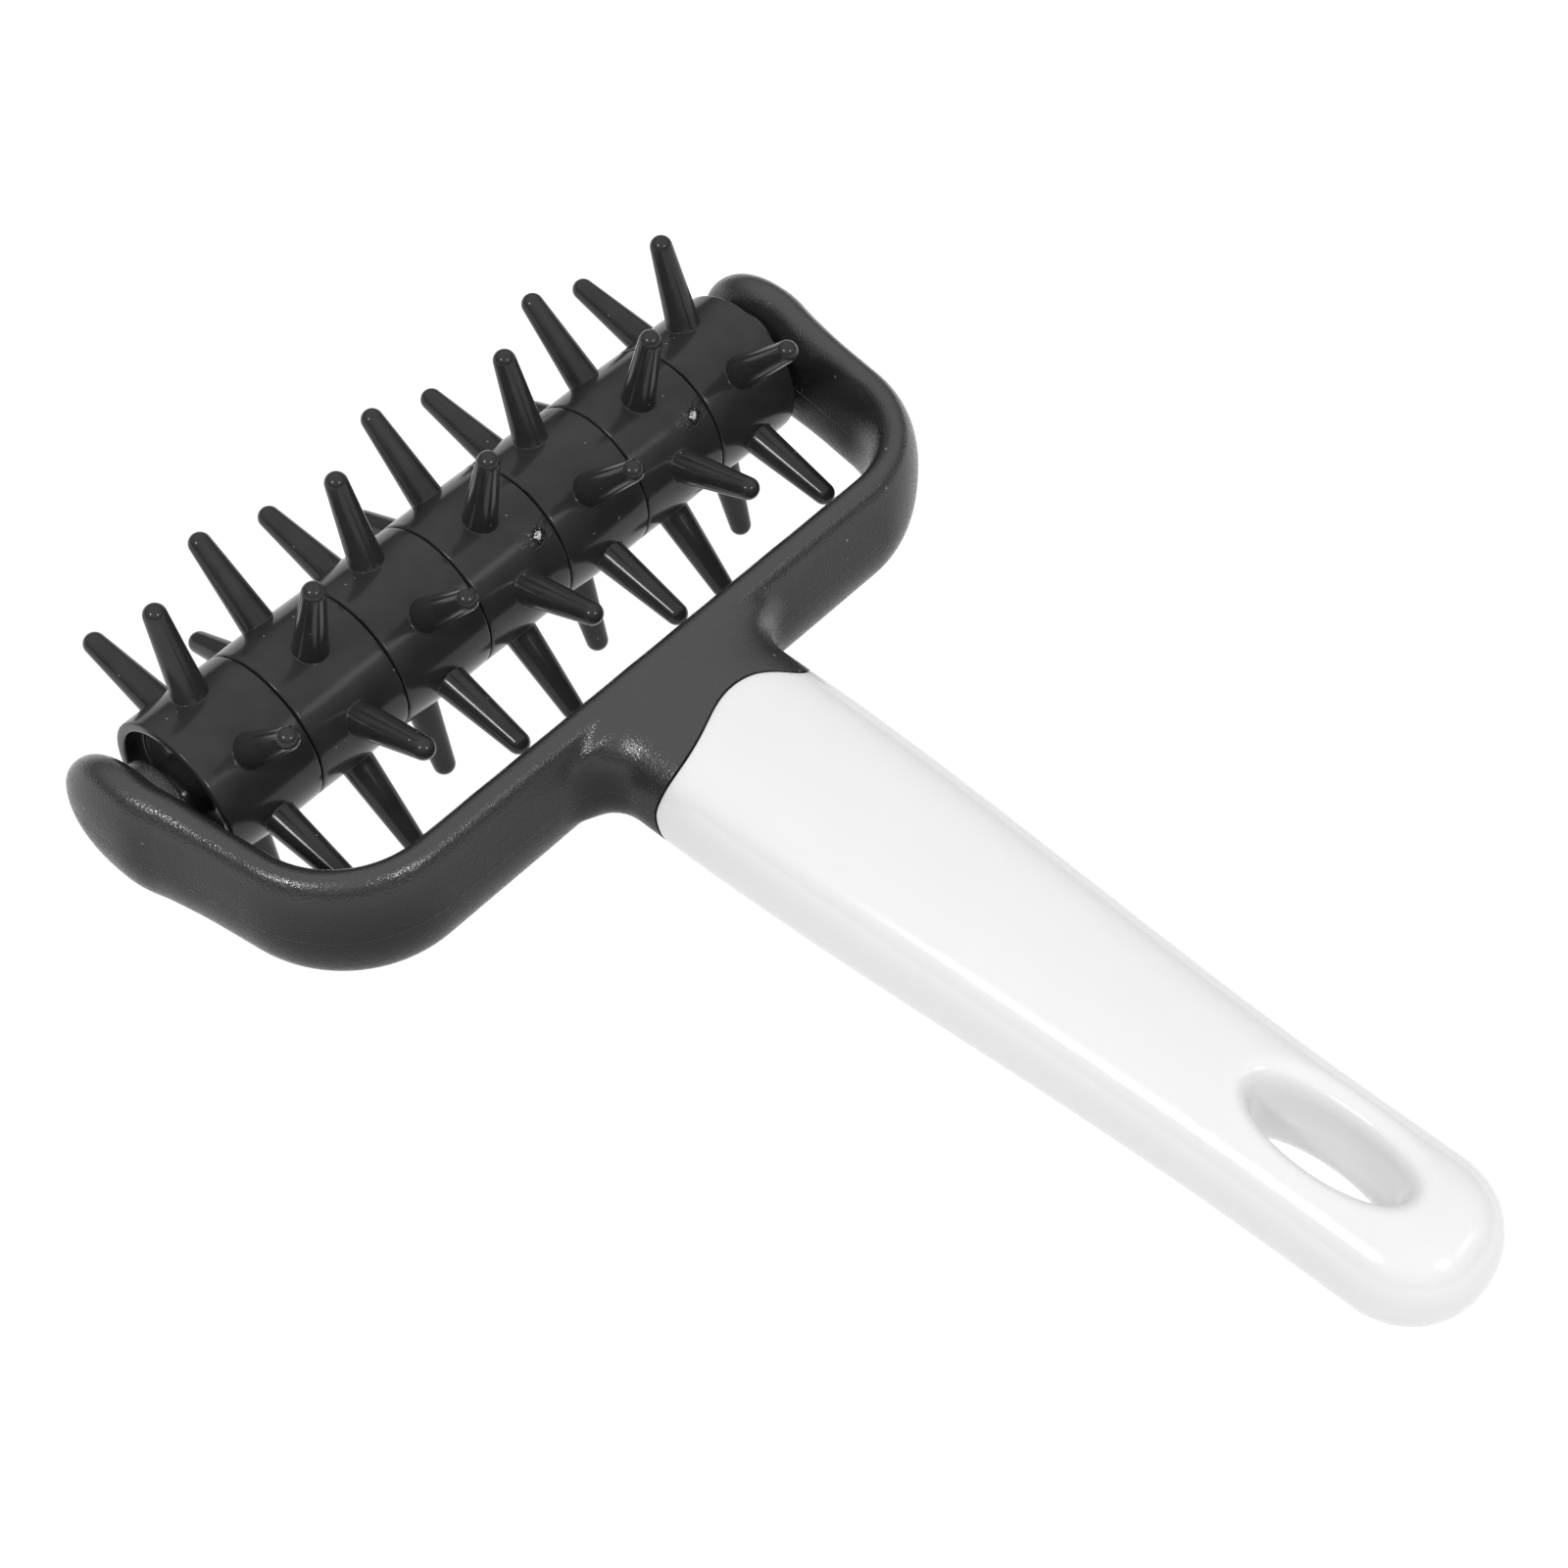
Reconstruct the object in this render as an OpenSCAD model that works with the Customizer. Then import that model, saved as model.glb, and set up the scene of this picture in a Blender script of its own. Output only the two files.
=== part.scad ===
// Hand-held dough docker: a roller of spiked rings that spins between the arms of a yoke,
// with a tapered handle pushed over the yoke's tang. Millimetres, +Z up, +X along the axle,
// the handle pointing to -Y, origin at the middle of the overall box.

/* [Roller] */
// Length of one spiked ring along the axle
ring_pitch = 16; // [13:0.5:20]
// Outside diameter of the ring barrels
ring_d = 23.4; // [20:0.2:28]
// Wall of a ring barrel beside its end hollows
ring_wall = 1.5; // [1.2:0.1:2.5]
// Depth of the hollow in each face of a ring
hollow_depth = 4.6; // [3.6:0.2:6]
// Rounding of the outer edge of a ring barrel
ring_edge = 0.5; // [0.2:0.1:1]
// Distance from the axle to the very tip of a spike
spike_reach = 26.6; // [22:0.2:32]
// Spike diameter where it leaves the barrel
spike_root_d = 5.3; // [4:0.1:7]
// Spike diameter at its rounded tip
spike_tip_d = 3.4; // [2:0.1:3.8]
// Height of the flare round a spike's root
spike_flare = 0.3; // [0.2:0.1:1.2]
// Angle by which the roller is turned from level
roller_turn = 11.4; // [0:0.2:30]

/* [Axle and core] */
// Diameter of the steel axle rod
axle_d = 4; // [3:0.1:5]
// Width across the flats of the square core
core_w = 9; // [7.5:0.1:10.5]
// Radial running clearance of the roller on the axle
run_clear = 0.05; // [0.02:0.01:0.1]
// Clearance of the pieces that are pushed together
fit_clear = 0.05; // [0.02:0.01:0.15]
// Gap left between two things that turn past each other
side_gap = 0.3; // [0.2:0.05:0.6]
// Thickness of the flange of an end bush
bush_flange = 1.8; // [1.2:0.1:2.4]
// Diameter of the collar of an end bush
bush_collar_d = 9; // [7:0.5:11]

/* [Yoke] */
// Free width between the roller's end and the arm
arm_gap = 2.6; // [1.6:0.1:4]
// Width of the arms and of the bar, seen from above
arm_w = 7.4; // [7:0.2:11]
// Height of the arms
arm_h = 19.2; // [16:0.2:23]
// Height of an arm where it holds the axle
eye_h = 20.6; // [18:0.2:28]
// Distance from the axle to the rounded tip of an arm
eye_reach = 12.1; // [10:0.1:14]
// Width of an arm across its eye
eye_w = 8.8; // [7:0.2:11]
// Angle by which the arms lean in towards the bar
arm_lean = 8.3; // [0:0.1:12]
// Height of the bar that joins the arms
bar_h = 19.8; // [14:0.2:22]
// Gap between the sweep of the spikes and the bar
bar_gap = 6; // [4.6:0.2:10]
// Radius of the yoke's corners, on the middle of the bar
corner_r = 16.6; // [9:0.1:20]
// Diameter of the thrust boss on the inside of an arm
boss_d = 14; // [10:0.5:18]
// Height of the thrust boss
boss_h = 1.2; // [0.8:0.1:1.4]
// Depth of the blind hole that holds the end of the axle
seat_depth = 6; // [4:0.5:7]

/* [Handle] */
// Distance from the axle to the far end of the handle
handle_reach = 171.5; // [150:0.5:200]
// Width of the handle at the neck
handle_w = 30.6; // [26:0.2:34]
// Width of the handle near its tail
tail_w = 23.2; // [19:0.2:26]
// Thickness of the handle at the neck
handle_t = 19.2; // [15:0.2:21]
// Thickness of the handle near its tail
tail_t = 16; // [13:0.2:18]
// Length of the dark neck from the bar to the corners of the joint line
neck_len = 10.8; // [8:0.2:16]
// Rise of the joint line's tongue on the broad faces
tongue = 3.5; // [2:0.1:6]
// Rise of the joint line's tongue on the narrow sides
side_tongue = 1.2; // [0:0.1:3]
// Radius of the hollow corners between the bar and the neck
neck_fillet = 6; // [3:0.5:9]

/* [Hanging slot] */
// Length of the slot at its narrowest
slot_len = 21.2; // [16:0.2:26]
// Width of the slot at its narrowest
slot_w = 7.8; // [6:0.2:10]
// Distance from the end of the handle to the slot
slot_end = 13.8; // [11:0.2:20]
// Widening of each side of the slot from mid-thickness to the upper face
slot_draft = 1.6; // [0.5:0.1:2]
// Widening of each side of the slot from mid-thickness to the lower face
slot_under_draft = 0.6; // [0.2:0.1:1.2]
// Radius of the soft rim round the slot
slot_rim = 1.6; // [1:0.1:2.4]

/* [Tang] */
// Length of the tang inside the handle
tang_len = 62; // [40:1:75]
// Width of the tang at its root
tang_w = 18; // [12:0.5:19]
// Thickness of the tang
tang_t = 9; // [7:0.2:10]
// Thickness of the tang's web and flanges
tang_rib = 2.2; // [1.6:0.1:3]

/* [Hidden] */

ring_total = 7;
spikes = 6;
key_turn = 90;
eps = 0.01;
$fn = 96;

yoke_grey = "#3b3c3e";
ring_grey = "#2e2f31";
core_grey = "#1f2022";
handle_white = "#f4f5f6";
steel = "#b9bcc0";

// Squareness of the lofted sections (2 is an ellipse) and their number of points
yoke_round = 2.25;
yoke_points = 28;
grip_round = 3;
grip_points = 40;
slot_points = 40;

// Fullness of an arm's rounded end and of the handle's nose
eye_full = 2.6;
nose_full = 3.2;
// How soon the arm leaves the eye's shape and starts to lean, in lengths of the arm
eye_blend = 1.4;
lean_blend = 3;
// Half width, sideways place and shape of the joint line's tongue, and the distance over
// which the handle forgets it
tongue_half = 10;
tongue_x = 1;
tongue_peak = 1.3;
joint_fade = 14;
// Where the handle's width stops tapering, ahead of its round end
taper_end = 10;

// Roller, worked out from the ring
ring_r = ring_d / 2;
hollow_r = ring_r - ring_wall;
tip_r = spike_tip_d / 2;
tip_centre = spike_reach - tip_r;
roller_half = ring_total * ring_pitch / 2;
web_face = roller_half - hollow_depth;
half_step = 180 / spikes;

// Yoke, worked out from the roller
arm_inner = roller_half + arm_gap;
arm_x = arm_inner + eye_w / 2;
boss_face = arm_inner - boss_h;
bar_y = -(spike_reach + bar_gap + arm_w / 2);
bar_back = bar_y - arm_w / 2;
arm_run = (-bar_y - corner_r * (1 - sin(arm_lean))) / cos(arm_lean);
seat_end = arm_inner + seat_depth;
fillet = min(neck_fillet, 0.8 * neck_len);

// Handle, worked out from the yoke
joint_y = bar_back - neck_len;
tail_r = tail_w / 2;
nose_y = -handle_reach;
tail_y = nose_y + tail_r;
slot_y = nose_y + slot_end + slot_len / 2;
tang_end_y = joint_y - tang_len;

// The axle's place, so that the origin is the middle of the overall box
front_y = tip_centre * cos(min(roller_turn, half_step - roller_turn)) + tip_r;
axle_y = (handle_reach - front_y) / 2;

// Points of one superellipse, anticlockwise, with half-axes a and b and exponent n
function oval(a, b, n, count) =
    [for (i = [0 : count - 1])
        let (t = 360 * i / count, c = cos(t), s = sin(t))
        [a * sign(c) * pow(abs(c), 2 / n), b * sign(s) * pow(abs(s), 2 / n)]];

function blend(a, b, t) = a + (b - a) * t;
function ease(t) = (1 - cos(180 * min(1, max(0, t)))) / 2;

function middle(ring) = [for (c = [0 : 2]) sum(ring, c) / len(ring)];
function sum(ring, c, i = 0) = i == len(ring) ? 0 : ring[i][c] + sum(ring, c, i + 1);

// A closed skin through a list of rings that hold the same number of points
module loft(rings) {
    n = len(rings);
    k = len(rings[0]);
    sides = [for (j = [0 : n - 2], i = [0 : k - 1])
        let (a = j * k + i, b = j * k + (i + 1) % k)
        each [[a, a + k, b], [b, a + k, b + k]]];
    first = n * k;
    ends = [for (i = [0 : k - 1])
        let (b = (i + 1) % k)
        each [[i, b, first], [(n - 1) * k + b, (n - 1) * k + i, first + 1]]];
    polyhedron(concat([for (r = rings) each r], [middle(rings[0]), middle(rings[n - 1])]),
               concat(sides, ends), convexity = 6);
}

// Turns a profile about +Z so that it stands along +X
module along_x() {
    rotate([0, 90, 0]) children();
}

// Moves what is drawn about the axle to its place in the part
module about_axle() {
    translate([0, axle_y, 0]) children();
}

// One spike standing on +Z, with a flared root and a ball tip
module spike() {
    root_r = spike_root_d / 2;
    foot = ring_r - ring_wall / 2;
    draft = (root_r - tip_r) / (tip_centre - ring_r);
    flare_steps = 3;
    flare = [for (i = [0 : flare_steps])
        let (t = 90 * i / flare_steps)
        [root_r + spike_flare * (1 - sin(t)), ring_r - eps + spike_flare * (1 - cos(t))]];
    ball = [for (i = [0 : 8])
        let (t = 90 * i / 8)
        [tip_r * cos(t), tip_centre + tip_r * sin(t)]];
    rotate_extrude()
        polygon(concat([[0, foot], [root_r + spike_flare, foot]], flare,
                       [[root_r - draft * spike_flare, ring_r + spike_flare + eps]],
                       [for (p = ball) [max(0, p[0]), p[1]]], [[0, spike_reach]]));
}

// One ring: barrel, web with a square bore, a hollow in each face and its spikes
module ring(index) {
    turn = roller_turn + (index % 2 == 0 ? key_turn : 0);
    x = (index - (ring_total + 1) / 2) * ring_pitch;
    half = ring_pitch / 2;
    color(ring_grey) about_axle() translate([x, 0, 0]) rotate([turn, 0, 0])
        difference() {
            union() {
                along_x() rotate_extrude()
                    polygon([[0, -half], [ring_r - ring_edge, -half], [ring_r, -half + ring_edge],
                             [ring_r, half - ring_edge], [ring_r - ring_edge, half], [0, half]]);
                for (i = [0 : spikes - 1]) rotate([360 * i / spikes - 90, 0, 0]) spike();
            }
            for (side = [-1, 1]) translate([side * half, 0, 0]) along_x()
                cylinder(h = 2 * hollow_depth, r = hollow_r, center = true);
            cube([ring_pitch, core_w + 2 * fit_clear, core_w + 2 * fit_clear], center = true);
        }
}

// The square core that keys the rings, bored right through for the axle
module core() {
    color(core_grey) about_axle() rotate([roller_turn, 0, 0])
        difference() {
            cube([2 * web_face, core_w, core_w], center = true);
            along_x() cylinder(h = 2 * web_face + 1, d = axle_d + 2 * run_clear, center = true);
        }
}

// The bush at one end of the core: a flange in the end ring's hollow and a collar
module bush(side) {
    color(core_grey) about_axle() mirror([side < 0 ? 1 : 0, 0, 0]) along_x()
        difference() {
            union() {
                translate([0, 0, web_face + fit_clear])
                    cylinder(h = bush_flange, r = hollow_r - fit_clear);
                translate([0, 0, web_face + fit_clear])
                    cylinder(h = boss_face - side_gap - web_face - fit_clear, d = bush_collar_d);
            }
            translate([0, 0, web_face]) cylinder(h = boss_face, d = axle_d + 2 * run_clear);
        }
}

// The steel rod seated in both arms
module axle() {
    chamfer = 0.4;
    end = seat_end - fit_clear;
    r = axle_d / 2;
    color(steel) about_axle() along_x() rotate_extrude()
        polygon([[0, -end], [r - chamfer, -end], [r, -end + chamfer],
                 [r, end - chamfer], [r - chamfer, end], [0, end]]);
}

// One section of the yoke: place on the path, direction of the outward side, half sizes
function yoke_ring(x, y, turn, half_w, half_h) =
    [for (p = oval(half_w, half_h, yoke_round, yoke_points))
        [x + p[0] * cos(turn), y + p[0] * sin(turn), p[1]]];

// Sections from the tip of the right arm to the middle of the bar
function yoke_half() =
    let (half_w = arm_w / 2, half_eye = eye_w / 2, sweep = 90 - arm_lean,
         centre_x = arm_x - arm_run * sin(arm_lean) - corner_r * cos(arm_lean),
         centre_y = bar_y + corner_r)
    concat(
        [for (t = [84 : -14 : 14])
            yoke_ring(arm_x, eye_reach * sin(t), 0,
                      half_eye * pow(1 - pow(sin(t), eye_full), 1 / yoke_round),
                      eye_h / 2 * cos(t))],
        [for (t = [0 : 0.125 : 0.875])
            let (lean = arm_lean * ease(lean_blend * t), past = ease(eye_blend * t))
            yoke_ring(arm_x - arm_run * t * sin(lean), -arm_run * t * cos(arm_lean), -lean,
                      blend(half_eye, half_w, past), blend(eye_h, arm_h, past) / 2)],
        [for (t = [0 : 0.1 : 1])
            let (turn = -arm_lean - sweep * t)
            yoke_ring(centre_x + corner_r * cos(turn), centre_y + corner_r * sin(turn),
                      turn, half_w, blend(arm_h, bar_h, ease(t)) / 2)],
        [for (t = [0.2 : 0.2 : 0.8])
            yoke_ring(centre_x * (1 - t), bar_y, -90, half_w, bar_h / 2)]);

// The same sections on the left, in the order that carries on along the bar
function yoke_other(list) =
    [for (j = [len(list) - 1 : -1 : 0])
        let (r = list[j], k = len(r))
        [for (i = [0 : k - 1]) [-r[i][0], r[i][1], r[i][2]]]];

module yoke() {
    right = yoke_half();
    loft(concat(right, yoke_other(right)));
}

// Outline of the neck and handle at a distance y: half width and half thickness
function grip_half_w(y) =
    blend(handle_w, tail_w, ease((joint_y - y) / (joint_y - tail_y - taper_end))) / 2;
function grip_half_t(y) = blend(handle_t, tail_t, ease((joint_y - y) / (joint_y - tail_y))) / 2;

// Rise of the joint line at an angle round the section, most in the middle of each side
function joint_rise(t) =
    let (c = cos(t), x = handle_w / 2 * sign(c) * pow(abs(c), 2 / grip_round),
         off = min(1, abs(x - tongue_x) / tongue_half))
    round(t / 90) % 2 == 0 ? side_tongue * (1 + cos(4 * t)) / 2
                           : tongue * pow(1 - pow(off, 2), tongue_peak);

// One section of the grip; follow = 1 takes the joint line's shape, 0 is flat
function grip_ring(y, half_w, half_t, follow = 0) =
    let (ring = oval(half_w, half_t, grip_round, grip_points))
    [for (i = [0 : grip_points - 1])
        [ring[i][0], y + follow * joint_rise(360 * i / grip_points), ring[i][1]]];

// The neck, flared where it leaves the bar and ended on the joint line
module neck() {
    half_w = handle_w / 2;
    half_t = handle_t / 2;
    loft(concat(
        [grip_ring(bar_y, half_w + fillet, half_t)],
        [for (d = [0, 0.1, 0.2, 0.35, 0.5, 0.7, 0.85, 1])
            grip_ring(bar_back - fillet * d, half_w + fillet * (1 - sqrt(1 - pow(1 - d, 2))),
                      half_t, d * fillet / neck_len)],
        [grip_ring(joint_y + fit_clear, half_w, half_t, 1)]));
}

// The tang: an I section that the handle is pushed over
module tang(grow) {
    w = tang_w + 2 * grow;
    t = tang_t + 2 * grow;
    translate([-w / 2, tang_end_y - grow, -t / 2])
        cube([w, bar_y - tang_end_y + grow, t]);
}

// The hollows that leave the tang's web between its flanges
module tang_hollows() {
    for (side = [-1, 1])
        translate([-tang_w / 2 + tang_rib, tang_end_y + tang_rib, side > 0 ? tang_rib / 2 : -tang_t])
            cube([tang_w - 2 * tang_rib, tang_len - 2 * tang_rib, tang_t - tang_rib / 2]);
}

module frame() {
    color(yoke_grey) about_axle() difference() {
        union() {
            yoke();
            neck();
            tang(0);
            for (side = [-1, 1]) mirror([side < 0 ? 1 : 0, 0, 0]) along_x()
                translate([0, 0, boss_face]) cylinder(h = boss_h + arm_w / 2, d = boss_d);
        }
        tang_hollows();
        for (side = [-1, 1]) mirror([side < 0 ? 1 : 0, 0, 0]) along_x()
            translate([0, 0, boss_face - eps])
                cylinder(h = seat_end - boss_face + eps, d = axle_d + 2 * fit_clear);
    }
}

// The handle's skin, from the joint line to the rounded nose
module grip() {
    loft(concat(
        [for (t = [0 : 1 / 24 : 1])
            let (y = blend(joint_y, tail_y, t))
            grip_ring(y, grip_half_w(y), grip_half_t(y), max(0, 1 - (joint_y - y) / joint_fade))],
        [for (t = [12 : 12 : 84])
            grip_ring(tail_y - tail_r * sin(t), tail_r * cos(t),
                      tail_t / 2 * sqrt(1 - pow(sin(t), nose_full)))]));
}

// The hanging slot's cutter: an oval that is narrowest at mid-thickness
module slot() {
    face = tail_t / 2;
    rim_steepest = 0.98;
    function slot_ring(z, grow) =
        [for (i = [0 : slot_points - 1])
            let (t = 360 * i / slot_points)
            [(slot_w / 2 + grow) * cos(t), slot_y + (slot_len / 2 + grow) * sin(t), z]];
    function wall(z, draft) =
        let (rim = min(rim_steepest, max(0, z - face + slot_rim) / slot_rim))
        draft * z / face + slot_rim * (1 - sqrt(1 - pow(rim, 2)));
    heights = concat([(face - slot_rim) / 2, face - slot_rim],
                     [for (t = [15 : 15 : 75]) face - slot_rim + slot_rim * sin(t)], [face + 1]);
    loft(concat(
        [for (j = [len(heights) - 1 : -1 : 0])
            slot_ring(-heights[j], wall(min(face, heights[j]), slot_under_draft))],
        [slot_ring(0, 0)],
        [for (z = heights) slot_ring(z, wall(min(face, z), slot_draft))]));
}

module handle() {
    color(handle_white) about_axle() difference() {
        grip();
        tang(fit_clear);
        slot();
    }
}

frame();
handle();
axle();
core();
bush(-1);  // bush_left
bush(1);  // bush_right
ring(1);  // ring_1
ring(2);  // ring_2
ring(3);  // ring_3
ring(4);  // ring_4
ring(5);  // ring_5
ring(6);  // ring_6
ring(7);  // ring_7
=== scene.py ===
"""Looks of a hand-held dough docker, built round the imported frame.

The roller's rings are grown by Geometry Nodes from one sixth of a ring, the yoke is one skin
with its neck run into its bar, and the handle is one skin with its hanging slot drawn in.
Lengths are millimetres about the axle until a mesh is made, and metres from there on.
"""

from __future__ import annotations

import logging
import math
from dataclasses import dataclass, field
from enum import Enum

import bmesh
import bpy
import numpy as np
from mathutils import Matrix, Vector

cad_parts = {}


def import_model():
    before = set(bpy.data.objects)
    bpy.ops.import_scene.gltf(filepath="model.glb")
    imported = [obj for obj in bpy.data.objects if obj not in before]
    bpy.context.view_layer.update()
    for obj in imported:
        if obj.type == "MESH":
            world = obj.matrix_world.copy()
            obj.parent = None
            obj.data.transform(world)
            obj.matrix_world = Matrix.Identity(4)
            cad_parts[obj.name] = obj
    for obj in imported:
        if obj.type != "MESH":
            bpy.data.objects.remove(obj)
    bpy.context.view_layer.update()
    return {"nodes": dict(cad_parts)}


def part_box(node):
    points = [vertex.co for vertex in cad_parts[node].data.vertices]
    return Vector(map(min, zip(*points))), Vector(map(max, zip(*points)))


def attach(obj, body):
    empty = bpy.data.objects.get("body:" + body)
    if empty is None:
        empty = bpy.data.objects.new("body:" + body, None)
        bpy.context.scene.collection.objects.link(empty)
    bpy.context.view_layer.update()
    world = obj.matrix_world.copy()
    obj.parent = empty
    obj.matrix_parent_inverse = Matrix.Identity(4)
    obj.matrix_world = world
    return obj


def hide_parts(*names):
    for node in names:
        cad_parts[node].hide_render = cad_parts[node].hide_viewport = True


LOG = logging.getLogger("dough_docker")

MM = 0.001
WELD = 1e-6
KEEP_SIZE = (0.5, -0.53)  # a move in and a slightly larger one out, so that nothing shrinks
NOISE_SPAN = (0.3, 0.7)  # nearly all values of a noise pattern lie between these

Number = float | int
Point = tuple[float, float, float]


class Body(Enum):
    """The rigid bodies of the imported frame."""

    YOKE = "yoke"
    ROLLER = "roller"


class Slot(Enum):
    """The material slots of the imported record."""

    YOKE = "yoke_plastic"
    HANDLE = "handle_plastic"
    RING = "ring_plastic"
    CORE = "core_plastic"
    AXLE = "axle_steel"


class Cut(Enum):
    """What one solid does to another."""

    UNION = "UNION"
    DIFFERENCE = "DIFFERENCE"


# Shapes -----------------------------------------------------------------------------------


def ease(t: np.ndarray | float) -> np.ndarray | float:
    """Returns a smooth step from 0 to 1, held outside that range."""
    return (1 - np.cos(math.pi * np.clip(t, 0, 1))) / 2


def blend(a: Number, b: Number, t: np.ndarray | float) -> np.ndarray | float:
    """Returns the value a share t of the way from a to b."""
    return a + (b - a) * t


def oval(half_w: Number, half_h: Number, squareness: float, turns: np.ndarray) -> np.ndarray:
    """Points of a superellipse.

    Args:
        half_w: Half its width.
        half_h: Half its height.
        squareness: Its exponent, 2 for an ellipse.
        turns: The angles of the points, in radians.

    Returns:
        An array of width and height pairs.
    """
    c, s = np.cos(turns), np.sin(turns)
    power = 2 / squareness
    return np.stack([half_w * np.sign(c) * np.abs(c) ** power,
                     half_h * np.sign(s) * np.abs(s) ** power], -1)


def arc(centre: tuple[float, float], radius: float, start: float, end: float,
        steps: int) -> list[tuple[float, float]]:
    """Points of an arc.

    Args:
        centre: Its centre.
        radius: Its radius.
        start: The first angle, in degrees.
        end: The last angle, in degrees.
        steps: The number of steps from one to the other.

    Returns:
        The points as pairs.
    """
    turns = np.radians(np.linspace(start, end, steps + 1))
    return [(centre[0] + radius * math.cos(t), centre[1] + radius * math.sin(t)) for t in turns]


def curve(first: np.ndarray, pull: np.ndarray, last: np.ndarray, steps: int) -> np.ndarray:
    """Points of quadratic curves that leave and arrive along their control legs.

    Args:
        first: The start of each curve.
        pull: The control point of each curve.
        last: The end of each curve.
        steps: The number of steps.

    Returns:
        One row of points for each step, with both ends.
    """
    t = np.linspace(0, 1, steps + 1)[:, None, None]
    return (1 - t) ** 2 * first + 2 * t * (1 - t) * pull + t ** 2 * last


class Skin:
    """Grids of points, in millimetres, that are welded into one mesh."""

    def __init__(self) -> None:
        """Starts with no points."""
        self._points: list[np.ndarray] = []
        self._faces: list[list[int]] = []
        self._count = 0

    def grid(self, rows: np.ndarray, wrap: bool = False) -> Skin:
        """Adds a face for each cell of a grid.

        Args:
            rows: The points, as rows by columns by 3.
            wrap: Whether the last column joins the first.

        Returns:
            This skin.
        """
        n, k = rows.shape[:2]
        index = np.arange(n * k).reshape(n, k) + self._count
        if wrap:
            index = np.column_stack([index, index[:, :1]])
        quads = np.stack([index[:-1, :-1], index[:-1, 1:], index[1:, 1:], index[1:, :-1]], -1)
        self._points.append(rows.reshape(-1, 3))
        self._faces.extend(quads.reshape(-1, 4).tolist())
        self._count += n * k
        return self

    def tube(self, rows: np.ndarray) -> Skin:
        """Adds a closed tube, with both ends drawn to their middles.

        Args:
            rows: The tube's rings of points, from one end to the other.

        Returns:
            This skin.
        """
        ends = [np.repeat(r.mean(0)[None, None], rows.shape[1], 1) for r in (rows[0], rows[-1])]
        return self.grid(np.concatenate([ends[0], rows, ends[1]]), wrap=True)

    def mesh(self, name: str, axle: Vector | None = None) -> bpy.types.Mesh:
        """Makes the mesh.

        Args:
            name: Its name.
            axle: The axle's middle in metres, where the points are measured from it.

        Returns:
            The welded mesh in metres, with its faces pointing outwards.
        """
        mesh = bpy.data.meshes.new(name)
        shift = 0 if axle is None else np.array(axle / MM)
        points = (np.concatenate(self._points) + shift) * MM
        mesh.from_pydata(points.tolist(), [], self._faces)
        form = bmesh.new()
        form.from_mesh(mesh)
        bmesh.ops.remove_doubles(form, verts=form.verts, dist=WELD)
        bmesh.ops.recalc_face_normals(form, faces=form.faces)
        form.to_mesh(mesh)
        form.free()
        return mesh


def spun(profile: list[tuple[float, float]], turns: np.ndarray, side: int = 1) -> np.ndarray:
    """Turns a profile about the axle.

    Args:
        profile: Pairs of place along the axle and radius.
        turns: The angles of the points, in radians.
        side: -1 to put the profile at the other end of the axle.

    Returns:
        One row of points for each pair.
    """
    return np.array([[(side * x, r * math.sin(t), r * math.cos(t)) for t in turns]
                     for x, r in profile])


def turned(name: str, profile: list[tuple[float, float]], steps: int, axle: Vector,
           mirror: bool = False) -> bpy.types.Mesh:
    """Turns a closed profile fully about the axle.

    Args:
        name: The mesh's name.
        profile: Pairs of place along the axle and radius.
        steps: The number of points round the axle.
        axle: The axle's middle, in metres.
        mirror: Whether the profile is put at the other end of the axle.

    Returns:
        The mesh, in metres.
    """
    turns = np.linspace(0, math.tau, steps, endpoint=False)
    rows = spun(profile, turns, -1 if mirror else 1)
    return Skin().grid(rows, wrap=True).mesh(name, axle)


def box(low: Point, high: Point) -> Skin:
    """Makes a plain box.

    Args:
        low: Its lowest corner.
        high: Its highest corner.

    Returns:
        The box as a closed skin.
    """
    corners = [(low[0], high[1]), (high[0], high[1]), (high[0], low[1]), (low[0], low[1])]
    rows = np.array([[(x, y, z) for x, y in corners] for z in (low[2], high[2])])
    return Skin().tube(rows)


def add(name: str, mesh: bpy.types.Mesh) -> bpy.types.Object:
    """Links a new object to the scene.

    Args:
        name: Its name.
        mesh: Its mesh.

    Returns:
        The object.
    """
    piece = bpy.data.objects.new(name, mesh)
    bpy.context.scene.collection.objects.link(piece)
    return piece


def drop(piece: bpy.types.Object) -> None:
    """Removes an object and its mesh.

    Args:
        piece: The object.
    """
    mesh = piece.data
    bpy.data.objects.remove(piece)
    bpy.data.meshes.remove(mesh)


def bake(piece: bpy.types.Object) -> None:
    """Turns an object's modifiers into its plain mesh and removes them.

    Args:
        piece: The object.
    """
    view = bpy.context.evaluated_depsgraph_get()
    view.update()
    mesh = bpy.data.meshes.new_from_object(piece.evaluated_get(view))
    mesh.name = piece.name
    old = piece.data
    piece.modifiers.clear()
    piece.data = mesh
    bpy.data.meshes.remove(old)


def cut(piece: bpy.types.Object, tool: bpy.types.Mesh, how: Cut) -> None:
    """Joins a solid to a piece, or takes it away.

    Args:
        piece: The piece that changes.
        tool: The other solid's mesh.
        how: What is done.
    """
    other = add("tool", tool)
    step = piece.modifiers.new("cut", "BOOLEAN")
    step.object = other
    step.operation = how.value
    step.solver = "MANIFOLD"
    bake(piece)
    drop(other)


def points_of(mesh: bpy.types.Mesh) -> np.ndarray:
    """Reads a mesh's points.

    Args:
        mesh: The mesh.

    Returns:
        The points in metres, one to a row.
    """
    points = np.empty(len(mesh.vertices) * 3)
    mesh.vertices.foreach_get("co", points)
    return points.reshape(-1, 3)


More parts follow.
